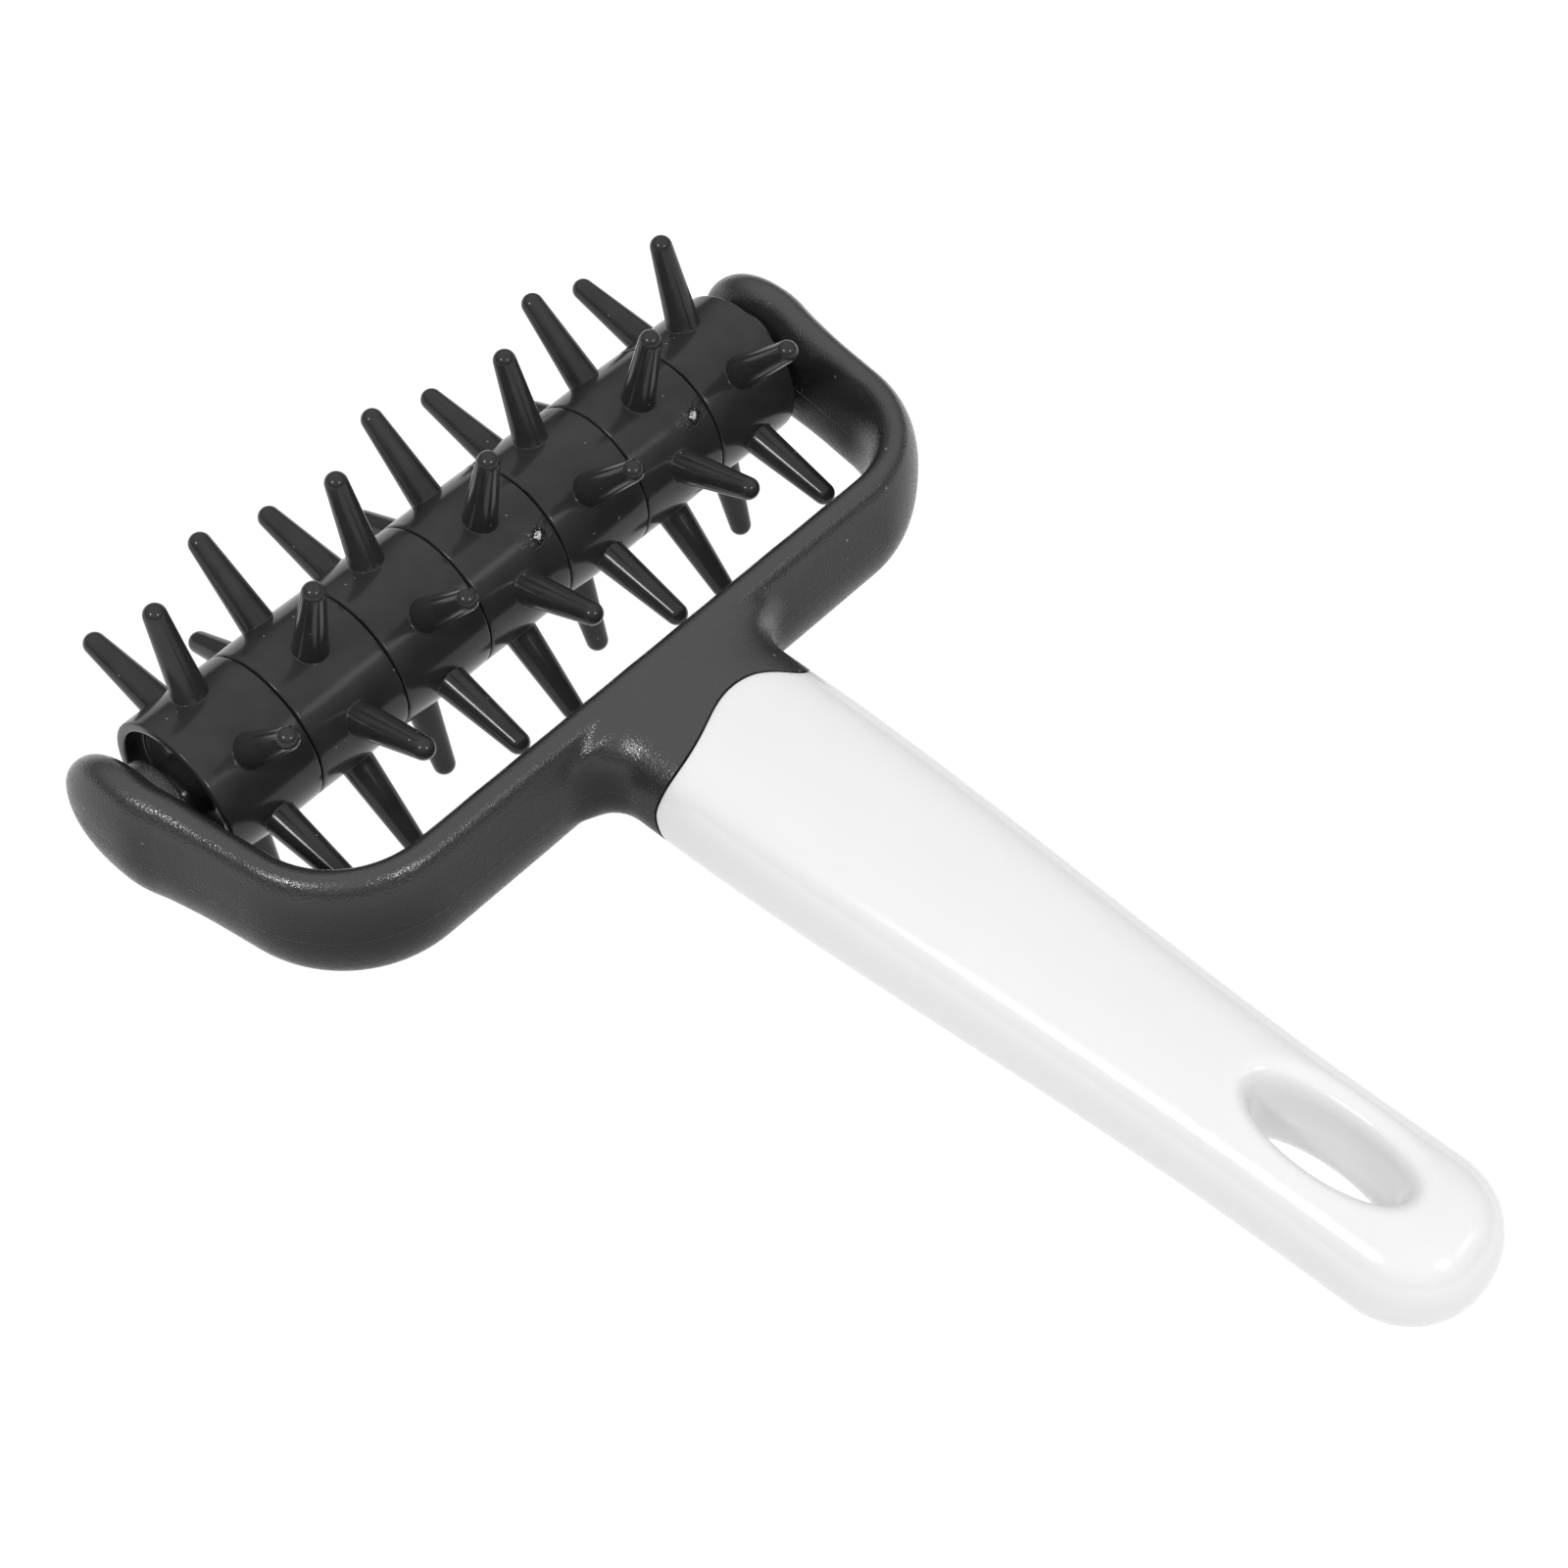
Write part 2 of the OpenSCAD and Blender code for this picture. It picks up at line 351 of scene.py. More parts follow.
def relax(mesh: bpy.types.Mesh, rounds: int, steps: tuple[float, ...],
          weight: np.ndarray | None = None) -> None:
    """Smooths a mesh by moving each point towards the middle of its neighbours.

    Args:
        mesh: The mesh.
        rounds: How many times.
        steps: The moves of one round. A negative one after a positive one keeps the size.
        weight: A share for each point, or None for all alike.
    """
    count = len(mesh.vertices)
    points = points_of(mesh)
    ends = np.empty(len(mesh.edges) * 2, int)
    mesh.edges.foreach_get("vertices", ends)
    a, b = ends.reshape(-1, 2).T
    near = np.bincount(np.concatenate([a, b]), minlength=count)[:, None]
    share = 1 if weight is None else weight[:, None]
    for _ in range(rounds):
        for step in steps:
            total = np.stack([np.bincount(a, points[b, axis], count)
                              + np.bincount(b, points[a, axis], count) for axis in range(3)], -1)
            points = points + step * share * (total / near - points)
    mesh.vertices.foreach_set("co", points.ravel())
    mesh.update()


def smooth(piece: bpy.types.Object, crease: float = 38) -> None:
    """Shades a piece smoothly, but for its creases.

    Args:
        piece: The piece.
        crease: The turn, in degrees, from which an edge stays sharp.
    """
    piece.data.polygons.foreach_set("use_smooth", [True] * len(piece.data.polygons))
    piece.data.set_sharp_from_angle(angle=math.radians(crease))
    piece.data.update()


def install(piece: bpy.types.Object, body: Body, stands_for: str,
            finish: bpy.types.Material | None = None) -> None:
    """Puts a piece in a frame node's place.

    Args:
        piece: The piece.
        body: The rigid body that it rides on.
        stands_for: The frame node that it replaces.
        finish: Its material, or None if its mesh has it already.
    """
    if finish:
        piece.data.materials.clear()
        piece.data.materials.append(finish)
    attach(piece, body.value)
    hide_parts(stands_for)
    LOG.info("%s: %d faces", stands_for, len(piece.data.polygons))


# Finishes ---------------------------------------------------------------------------------


def colour(code: str) -> tuple[float, float, float, float]:
    """Turns an sRGB hex colour into Blender's linear one.

    Args:
        code: The colour, such as "#3b3c3e".

    Returns:
        Red, green, blue and 1.
    """
    parts = [int(code[i:i + 2], 16) / 255 for i in (1, 3, 5)]
    linear = [v / 12.92 if v <= 0.04045 else ((v + 0.055) / 1.055) ** 2.4 for v in parts]
    return (*linear, 1.0)


def node(tree: bpy.types.NodeTree, kind: str, settings: dict | None = None,
         links: dict | None = None) -> bpy.types.Node:
    """Adds a node with its settings and links.

    Args:
        tree: The tree that it goes into.
        kind: The node's type.
        settings: Values of its properties, or of its sockets by name or number.
        links: Output sockets, by the name or number of the input that they go to.

    Returns:
        The node.
    """
    made = tree.nodes.new(kind)
    for key, value in (settings or {}).items():
        if isinstance(key, str) and hasattr(made, key):
            setattr(made, key, value)
        else:
            made.inputs[key].default_value = value
    for key, source in (links or {}).items():
        tree.links.new(source, made.inputs[key])
    return made


def new_material(name: str, values: dict) -> tuple[bpy.types.Material, bpy.types.NodeTree]:
    """Makes a material.

    Args:
        name: Its name.
        values: The values of its shader's inputs, by name.

    Returns:
        The material and its tree.
    """
    material = bpy.data.materials.new(name)
    material.use_nodes = True
    shader = material.node_tree.nodes["Principled BSDF"]
    for key, value in values.items():
        shader.inputs[key].default_value = value
    return material, material.node_tree


def feed(tree: bpy.types.NodeTree, sources: dict[str, bpy.types.NodeSocket]) -> None:
    """Links sockets to a material's shader.

    Args:
        tree: The material's tree.
        sources: The sockets, by the name of the input that they go to.
    """
    shader = tree.nodes["Principled BSDF"]
    for key, source in sources.items():
        tree.links.new(source, shader.inputs[key])


@dataclass(frozen=True)
class ErodedMoulding:
    """Glass-filled polyamide from a spark-eroded mould.

    The mould's fine pits leave a grain that breaks every highlight into sparkle. The skin
    between the pits is fairly glossy where it faces up, so the upper edges shine in a narrow
    band and the lower flanks stay dark.
    """

    tint: str = "#242425"
    pale: str = "#29292a"
    dust: str = "#8c8d8f"
    dust_cover: float = 0.5
    speck_mm: float = 5.0
    speck_edge: tuple[float, float] = (0.035, 0.055)
    # The real pits are finer than 0.1 mm. They are drawn coarser, so that they show.
    grain_mm: float = 0.36
    grain_depth_mm: float = 0.075
    grain_span: tuple[float, float] = (0.41, 0.61)
    swell_mm: float = 9.0
    swell_depth_mm: float = 0.02
    seam_mm: float = 0.12
    seam_depth_mm: float = 0.03
    roughness: tuple[float, float] = (0.3, 0.05)
    gloss_level: float = 0.68
    ior: tuple[float, float] = (1.12, 1.5)
    ior_slope: tuple[float, float] = (0.0, 0.6)

    def make(self) -> bpy.types.Material:
        """Returns the material."""
        material, tree = new_material(
            "spark_eroded_polyamide",
            {"IOR": self.ior[1], "Specular IOR Level": self.gloss_level})
        place = node(tree, "ShaderNodeTexCoord").outputs["Object"]
        grain, swell = (
            node(tree, "ShaderNodeTexNoise",
                 {"Scale": 1 / (size * MM), "Detail": detail, "Roughness": finer},
                 {"Vector": place}).outputs["Fac"]
            for size, detail, finer in ((self.grain_mm, 2.0, 0.6), (self.swell_mm, 1.0, 0.5)))
        cells = node(tree, "ShaderNodeTexVoronoi",
                     {"Scale": 1 / (self.speck_mm * MM), "Randomness": 1.0},
                     {"Vector": place}).outputs["Distance"]
        height = node(tree, "ShaderNodeSeparateXYZ", links={"Vector": place}).outputs["Z"]
        off_seam = node(tree, "ShaderNodeMath", {"operation": "ABSOLUTE"},
                        {0: height}).outputs["Value"]
        facing = node(tree, "ShaderNodeTexCoord").outputs["Normal"]
        upward = node(tree, "ShaderNodeSeparateXYZ", links={"Vector": facing}).outputs["Z"]
        specks, seam, roughness, ior = (
            node(tree, "ShaderNodeMapRange", dict(enumerate(span, 1)), {0: source}).outputs[0]
            for source, span in ((cells, (*self.speck_edge, self.dust_cover, 0.0)),
                                 (off_seam, (0.0, self.seam_mm * MM, 1.0, 0.0)),
                                 (grain, (*self.grain_span, *self.roughness)),
                                 (upward, (*self.ior_slope, *self.ior))))
        shade = node(tree, "ShaderNodeMix",
                     {"data_type": "RGBA", 6: colour(self.tint), 7: colour(self.pale)},
                     {0: swell}).outputs[2]
        shade = node(tree, "ShaderNodeMix", {"data_type": "RGBA", 7: colour(self.dust)},
                     {0: specks, 6: shade}).outputs[2]
        normal = {}
        for pattern, depth in ((swell, self.swell_depth_mm), (seam, self.seam_depth_mm),
                               (grain, self.grain_depth_mm)):
            bump = node(tree, "ShaderNodeBump", {"Strength": 1.0, "Distance": depth * MM},
                        {"Height": pattern} | normal)
            normal = {"Normal": bump.outputs["Normal"]}
        feed(tree, {"Base Color": shade, "Roughness": roughness, "IOR": ior} | normal)
        return material


@dataclass(frozen=True)
class GlossMoulding:
    """Polished polypropylene moulding, dyed dark grey.

    A polished mould leaves a clear gloss with a slight swell, so lights show as dots and lines
    that waver a little. The gate leaves a broken-off nub in a dark scar, with flow marks round it;
    the nub is painted pale, partly for its stress whitening and partly as a painted highlight.
    """

    name: str = "polished_polypropylene"
    marked: bool = True
    tint: str = "#262626"
    pale: str = "#2c2c2c"
    scar: str = "#0b0b0b"
    # Pale colour of the gate nub: partly stress whitening, partly a painted highlight.
    whitened_nub_and_highlight: str = "#c4c4c4"
    dust: str = "#8a8a8b"
    dust_cover: float = 0.6
    speck_mm: float = 3.6
    speck_edge: tuple[float, float] = (0.03, 0.05)
    roughness: tuple[float, float] = (0.155, 0.185)
    swell_mm: float = 4.5
    swell_depth_mm: float = 0.014
    haze_mm: float = 0.6
    flow_mm: float = 0.625
    flow_depth_mm: float = 0.3
    gate_mm: Point = (5.14, -6.47, 9.81)
    nub_edge_mm: tuple[float, float] = (0.5, 0.65)
    scar_edge_mm: tuple[float, float] = (1.05, 1.15)
    flow_edge_mm: tuple[float, float] = (0.6, 3.4)
    ragged_mm: float = 0.45
    ior: float = 1.49
    gloss_level: float = 0.26

    def make(self) -> bpy.types.Material:
        """Returns the material."""
        material, tree = new_material(
            self.name, {"IOR": self.ior, "Specular IOR Level": self.gloss_level})
        if self.marked:
            place = node(tree, "ShaderNodeAttribute",
                         {"attribute_name": "moulding"}).outputs["Vector"]
        else:
            metres = node(tree, "ShaderNodeTexCoord").outputs["Object"]
            place = node(tree, "ShaderNodeVectorMath", {"operation": "SCALE", "Scale": 1 / MM},
                         {0: metres}).outputs["Vector"]
        swell, haze, flow = (
            node(tree, "ShaderNodeTexNoise",
                 {"Scale": 1 / size, "Detail": detail, "Roughness": finer},
                 {"Vector": place}).outputs["Fac"]
            for size, detail, finer in ((self.swell_mm, 1.0, 0.5), (self.haze_mm, 3.0, 0.6),
                                        (self.flow_mm, 2.0, 0.5)))
        cells = node(tree, "ShaderNodeTexVoronoi", {"Scale": 1 / self.speck_mm},
                     {"Vector": place}).outputs["Distance"]
        gap = node(tree, "ShaderNodeVectorMath", {"operation": "DISTANCE", 1: self.gate_mm},
                   {0: place}).outputs["Value"]
        near, jag, light, roughness = (
            node(tree, "ShaderNodeMapRange", dict(enumerate(span, 1)), {0: source}).outputs[0]
            for source, span in ((gap, (*self.flow_edge_mm, 1.0, 0.0)),
                                 (flow, (*NOISE_SPAN, -self.ragged_mm, self.ragged_mm)),
                                 (swell, (*NOISE_SPAN, 0.0, 1.0)),
                                 (haze, (*NOISE_SPAN, *self.roughness))))
        marks = node(tree, "ShaderNodeMath", {"operation": "MULTIPLY"},
                     {0: flow, 1: near}).outputs["Value"]
        ragged = node(tree, "ShaderNodeMath", {"operation": "ADD"},
                      {0: gap, 1: jag}).outputs["Value"]
        shade = node(tree, "ShaderNodeMix",
                     {"data_type": "RGBA", 6: colour(self.tint), 7: colour(self.pale)},
                     {0: light}).outputs[2]
        for source, edge, cover, code in ((ragged, self.scar_edge_mm, 1.0, self.scar),
                                          # The nub's pale colour is partly stress whitening and
                                          # partly a painted highlight.
                                          (ragged, self.nub_edge_mm, 1.0, self.whitened_nub_and_highlight),
                                          (cells, self.speck_edge, self.dust_cover, self.dust)):
            share = node(tree, "ShaderNodeMapRange",
                         dict(enumerate((*edge, cover, 0.0), 1)), {0: source}).outputs[0]
            shade = node(tree, "ShaderNodeMix", {"data_type": "RGBA", 7: colour(code)},
                         {0: share, 6: shade}).outputs[2]
        normal = {}
        for pattern, depth in ((swell, self.swell_depth_mm), (marks, self.flow_depth_mm)):
            bump = node(tree, "ShaderNodeBump", {"Strength": 1.0, "Distance": depth * MM},
                        {"Height": pattern} | normal)
            normal = {"Normal": bump.outputs["Normal"]}
        feed(tree, {"Base Color": shade, "Roughness": roughness} | normal)
        return material


@dataclass(frozen=True)
class WhiteMoulding:
    """White ABS moulding from a polished mould.

    The dye is dense, so the body looks nearly shadowless, and the gloss shows the lights as
    long thin streaks along the handle's shoulders.
    """

    tint: str = "#d9d9d8"
    pale: str = "#d7d7d8"
    roughness: tuple[float, float] = (0.13, 0.2)
    smear_mm: float = 4.0
    swell_mm: float = 14.0
    swell_depth_mm: float = 0.02
    ior: float = 1.53
    scatter: float = 0.4
    scatter_mm: float = 2.5

    def make(self) -> bpy.types.Material:
        """Returns the material."""
        material, tree = new_material(
            "white_abs_polished",
            {"IOR": self.ior, "Subsurface Weight": self.scatter,
             "Subsurface Radius": (1.0, 1.0, 1.0), "Subsurface Scale": self.scatter_mm * MM})
        place = node(tree, "ShaderNodeTexCoord").outputs["Object"]
        swell, smear = (
            node(tree, "ShaderNodeTexNoise",
                 {"Scale": 1 / (size * MM), "Detail": detail, "Roughness": finer},
                 {"Vector": place}).outputs["Fac"]
            for size, detail, finer in ((self.swell_mm, 1.0, 0.5), (self.smear_mm, 4.0, 0.6)))
        roughness = node(tree, "ShaderNodeMapRange",
                         dict(enumerate((*NOISE_SPAN, *self.roughness), 1)), {0: smear})
        shade = node(tree, "ShaderNodeMix",
                     {"data_type": "RGBA", 6: colour(self.tint), 7: colour(self.pale)},
                     {0: swell})
        bump = node(tree, "ShaderNodeBump",
                    {"Strength": 1.0, "Distance": self.swell_depth_mm * MM}, {"Height": swell})
        feed(tree, {"Base Color": shade.outputs[2], "Roughness": roughness.outputs[0],
                    "Normal": bump.outputs["Normal"]})
        return material


@dataclass(frozen=True)
class DrawnSteel:
    """Stainless steel rod, drawn and cut: fine lines along it draw its highlight out."""

    tint: str = "#b9bcc0"
    roughness: tuple[float, float] = (0.22, 0.4)
    # Real drawing lines are finer than 0.05 mm. They are drawn coarser, so that they show.
    line_mm: float = 0.12
    line_depth_mm: float = 0.002
    stretch: Point = (0.02, 1.0, 1.0)

    def make(self) -> bpy.types.Material:
        """Returns the material."""
        material, tree = new_material(
            "drawn_stainless_steel", {"Base Color": colour(self.tint), "Metallic": 1.0})
        place = node(tree, "ShaderNodeTexCoord").outputs["Object"]
        stretched = node(tree, "ShaderNodeMapping", {"Scale": self.stretch},
                         {"Vector": place}).outputs["Vector"]
        lines = node(tree, "ShaderNodeTexNoise",
                     {"Scale": 1 / (self.line_mm * MM), "Detail": 2.0},
                     {"Vector": stretched}).outputs["Fac"]
        roughness = node(tree, "ShaderNodeMapRange",
                         dict(enumerate((*NOISE_SPAN, *self.roughness), 1)), {0: lines})
        bump = node(tree, "ShaderNodeBump",
                    {"Strength": 1.0, "Distance": self.line_depth_mm * MM}, {"Height": lines})
        feed(tree, {"Roughness": roughness.outputs[0], "Normal": bump.outputs["Normal"]})
        return material


@dataclass(frozen=True)
class PaleSweep:
    """White paper sweep under the tool, lit until it looks nearly pure white.

    It glows by itself a little, so the tool's underside gets light and hardly any shadow shows.
    """

    tint: str = "#5c5c5c"
    pale: str = "#626262"
    fibre_mm: float = 2.0
    roughness: float = 0.9
    glow: float = 0.98

    def make(self) -> bpy.types.Material:
        """Returns the material."""
        material, tree = new_material(
            "white_paper_sweep", {"Roughness": self.roughness, "Emission Color": (1, 1, 1, 1),
                                  "Emission Strength": self.glow})
        place = node(tree, "ShaderNodeTexCoord").outputs["Object"]
        fibre = node(tree, "ShaderNodeTexNoise",
                     {"Scale": 1 / (self.fibre_mm * MM), "Detail": 2.0},
                     {"Vector": place}).outputs["Fac"]
        shade = node(tree, "ShaderNodeMix",
                     {"data_type": "RGBA", 6: colour(self.tint), 7: colour(self.pale)},
                     {0: fibre})
        feed(tree, {"Base Color": shade.outputs[2]})
        return material


# Roller -----------------------------------------------------------------------------------


@dataclass
class SpikedRing:
    """One sixth of a ring, and the tree that repeats it into the whole moulding."""

    spikes: int = 6
    pitch: float = 16.0
    outer_r: float = 11.7
    draft_rise: float = 0.09
    hollow_r: float = 10.2
    hollow_depth: float = 4.6
    seam_gap: float = 0.1
    edge: float = 0.32
    lip: float = 0.3
    root_r: float = 2.54
    tip_r: float = 1.68
    reach: float = 26.6
    root_fillet: float = 0.14
    bore: float = 9.1
    along: int = 14
    across: int = 10
    foot_rows: int = 9
    fillet_steps: int = 4
    stem_rows: int = 15
    tip_rows: int = 9
    gate_x: float = 5.14
    gate_turn: float = -33.4
    gate_stretch: float = 1.25
    gate_ragged: float = 0.18
    gate_swell: float = 0.3
    gate_around: int = 18
    gate_seed: int = 7
    gate_profile: tuple[tuple[float, float], ...] = (
        (-0.35, 0.0), (-0.35, 0.95), (-0.02, 0.95), (0.07, 0.86), (0.1, 0.72), (0.03, 0.58),
        (0.06, 0.44), (0.17, 0.3), (0.2, 0.14), (0.19, 0.0))

    def barrel_r(self, x: np.ndarray | float) -> np.ndarray | float:
        """Returns the barrel's radius, which falls away from the parting in the middle."""
        return self.outer_r + self.draft_rise * (1 - np.abs(x) / (self.pitch / 2))

    def on_barrel(self, x: np.ndarray, turn: np.ndarray) -> np.ndarray:
        """Sets points on the barrel.

        Args:
            x: Their places along it.
            turn: Their angles from the spike.

        Returns:
            The points.
        """
        r = self.barrel_r(x)
        return np.stack([x, r * np.sin(turn), r * np.cos(turn)], -1)

    def rim(self) -> np.ndarray:
        """Returns the points round one sixth of the barrel, as pairs of place and angle."""
        half = math.pi / self.spikes
        flat = self.pitch / 2 - self.seam_gap - self.edge
        xs = np.linspace(-flat, flat, self.along + 1)
        turns = np.linspace(-half, half, self.across + 1)
        return np.array([(flat, t) for t in turns] + [(x, half) for x in xs[-2::-1]]
                        + [(-flat, t) for t in turns[-2::-1]] + [(x, -half) for x in xs[1:-1]])

    def spike(self, rim: np.ndarray) -> np.ndarray:
        """Builds the outer face of the tile, from its rim up to the spike's tip.

        Args:
            rim: The tile's rim.

        Returns:
            The rows of points, to be closed round.
        """
        x, turn = rim.T
        aim = np.arctan2(self.outer_r * turn, x)
        foot_r = self.root_r + self.root_fillet
        foot_x = foot_r * np.cos(aim)
        foot_turn = np.arcsin(foot_r * np.sin(aim) / self.outer_r)
        even = np.linspace(0, 1, self.foot_rows)
        rows = [self.on_barrel(blend(x, foot_x, t), blend(turn, foot_turn, t))
                for t in ease(even) * 0.5 + even * 0.5]
        top = self.reach - self.tip_r
        draft = (self.root_r - self.tip_r) / (top - self.outer_r)
        c, s = np.cos(aim), np.sin(aim)
        low = np.sqrt(self.barrel_r(self.root_r * c) ** 2 - (self.root_r * s) ** 2)

        def stem(height: np.ndarray) -> np.ndarray:
            """Returns the points of the stem at those heights."""
            r = self.root_r - draft * (height - self.outer_r)
            return np.stack([r * c, r * s, height], -1)

        foot = low + self.root_fillet
        rows += list(curve(rows[-1], stem(low), stem(foot), self.fillet_steps)[1:])
        rows += [stem(blend(foot, top, t)) for t in np.linspace(0, 1, self.stem_rows)[1:]]
        for lift in np.radians(np.linspace(0, 90, self.tip_rows))[1:]:
            r = self.tip_r * math.cos(lift)
            rows.append(np.stack([r * c, r * s, np.full_like(c, top + self.tip_r * math.sin(lift))],
                                 -1))
        return np.array(rows)

    def end_face(self, side: int) -> np.ndarray:
        """Builds the rounded edge, end face, hollow and web on one side of the tile.

        Args:
            side: 1 for the right-hand side, -1 for the left-hand one.

        Returns:
            The rows of points.
        """
        half = self.pitch / 2 - self.seam_gap
        flat = half - self.edge
        turns = np.linspace(-math.pi / self.spikes, math.pi / self.spikes, self.across + 1)
        edge_r = float(self.barrel_r(flat)) - self.edge
        web = self.pitch / 2 - self.hollow_depth
        profile = arc((flat, edge_r), self.edge, 90, 0, 5)
        profile += arc((half - self.lip, self.hollow_r + self.lip), self.lip, 0, -90, 4)
        profile += arc((web + self.lip, self.hollow_r - self.lip), self.lip, 90, 180, 4)
        profile += [(web, self.hollow_r / 2), (web, 0)]
        return spun(profile, turns, side)

    def tile(self) -> bpy.types.Mesh:
        """Returns one sixth of the ring as an open mesh."""
        skin = Skin().grid(self.spike(self.rim()), wrap=True)
        for side in (-1, 1):
            skin.grid(self.end_face(side))
        return skin.mesh("ring_sixth")

    def gate(self) -> bpy.types.Mesh:
        """Returns the torn stub that the gate leaves on the barrel, at its place on the ring."""
        turns = np.linspace(0, math.tau, self.gate_around, endpoint=False)
        chance = np.random.default_rng(self.gate_seed)
        ragged = 1 + self.gate_ragged * chance.standard_normal(len(turns))
        lift = math.radians(self.gate_turn)
        rows = []
        for height, r in self.gate_profile:
            x = self.gate_x + r * ragged * np.cos(turns) * self.gate_stretch
            lifted = height * (1 + self.gate_swell * ragged)
            out = float(self.barrel_r(self.gate_x)) + lifted
            turn = lift + r * ragged * np.sin(turns) / self.outer_r
            rows.append(np.stack([x, out * np.sin(turn), out * np.cos(turn)], -1))
        return Skin().grid(np.array(rows), wrap=True).mesh("ring_gate")

    def tree(self) -> bpy.types.NodeTree:
        """Builds the tree that turns one sixth into a whole ring at its place on the axle."""
        tree = bpy.data.node_groups.new("spiked_ring", "GeometryNodeTree")
        sockets = tree.interface
        sockets.new_socket(name="Sixth", in_out="INPUT", socket_type="NodeSocketGeometry")
        for name, kind in (("Gate", "Object"), ("Spikes", "Int"), ("Bore", "Float"),
                           ("Length", "Float"), ("Turn", "Float"), ("Place", "Vector"),
                           ("Finish", "Material")):
            sockets.new_socket(name=name, in_out="INPUT", socket_type=f"NodeSocket{kind}")
        sockets.new_socket(name="Ring", in_out="OUTPUT", socket_type="NodeSocketGeometry")
        given = tree.nodes.new("NodeGroupInput").outputs
        spots = node(tree, "GeometryNodeMeshLine", {"Offset": (0, 0, 0)},
                     {"Count": given["Spikes"]})
        step = node(tree, "ShaderNodeMath", {"operation": "DIVIDE", 0: math.tau},
                    {1: given["Spikes"]})
        index = node(tree, "GeometryNodeInputIndex")
        angle = node(tree, "ShaderNodeMath", {"operation": "MULTIPLY"},
                     {0: index.outputs[0], 1: step.outputs[0]})
        axis = node(tree, "ShaderNodeCombineXYZ", links={"X": angle.outputs[0]})
        turned = node(tree, "FunctionNodeEulerToRotation", links={0: axis.outputs[0]})
        crown = node(tree, "GeometryNodeInstanceOnPoints",
                     links={"Points": spots.outputs["Mesh"], "Instance": given["Sixth"],
                            "Rotation": turned.outputs[0]})
        real = node(tree, "GeometryNodeRealizeInstances", links={0: crown.outputs[0]})
        welded = node(tree, "GeometryNodeMergeByDistance", {"Distance": WELD},
                      {0: real.outputs[0]})
        size = node(tree, "ShaderNodeCombineXYZ",
                    links={"X": given["Length"], "Y": given["Bore"], "Z": given["Bore"]})
        bar = node(tree, "GeometryNodeMeshCube", links={"Size": size.outputs[0]})
        bored = node(tree, "GeometryNodeMeshBoolean",
                     {"operation": "DIFFERENCE", "solver": "MANIFOLD"},
                     {0: welded.outputs[0], 1: bar.outputs["Mesh"]})
        stub = node(tree, "GeometryNodeObjectInfo", links={0: given["Gate"]})
        both = node(tree, "GeometryNodeJoinGeometry", links={0: bored.outputs[0]})
        tree.links.new(stub.outputs["Geometry"], both.inputs[0])
        where = node(tree, "GeometryNodeInputPosition")
        scaled = node(tree, "ShaderNodeVectorMath", {"operation": "SCALE", "Scale": 1 / MM},
                      {0: where.outputs[0]})
        marked = node(tree, "GeometryNodeStoreNamedAttribute",
                      {"data_type": "FLOAT_VECTOR", "domain": "POINT", "Name": "moulding"},
                      {"Geometry": both.outputs[0], "Value": scaled.outputs[0]})
        turn = node(tree, "ShaderNodeCombineXYZ", links={"X": given["Turn"]})
        placed = node(tree, "GeometryNodeTransform",
                      links={"Geometry": marked.outputs[0], "Translation": given["Place"],
                             "Rotation": turn.outputs[0]})
        plain = node(tree, "GeometryNodeRealizeInstances", links={0: placed.outputs[0]})
        dressed = node(tree, "GeometryNodeSetMaterial",
                       links={"Geometry": plain.outputs[0], "Material": given["Finish"]})
        out = tree.nodes.new("NodeGroupOutput")
        tree.links.new(dressed.outputs[0], out.inputs[0])
        return tree


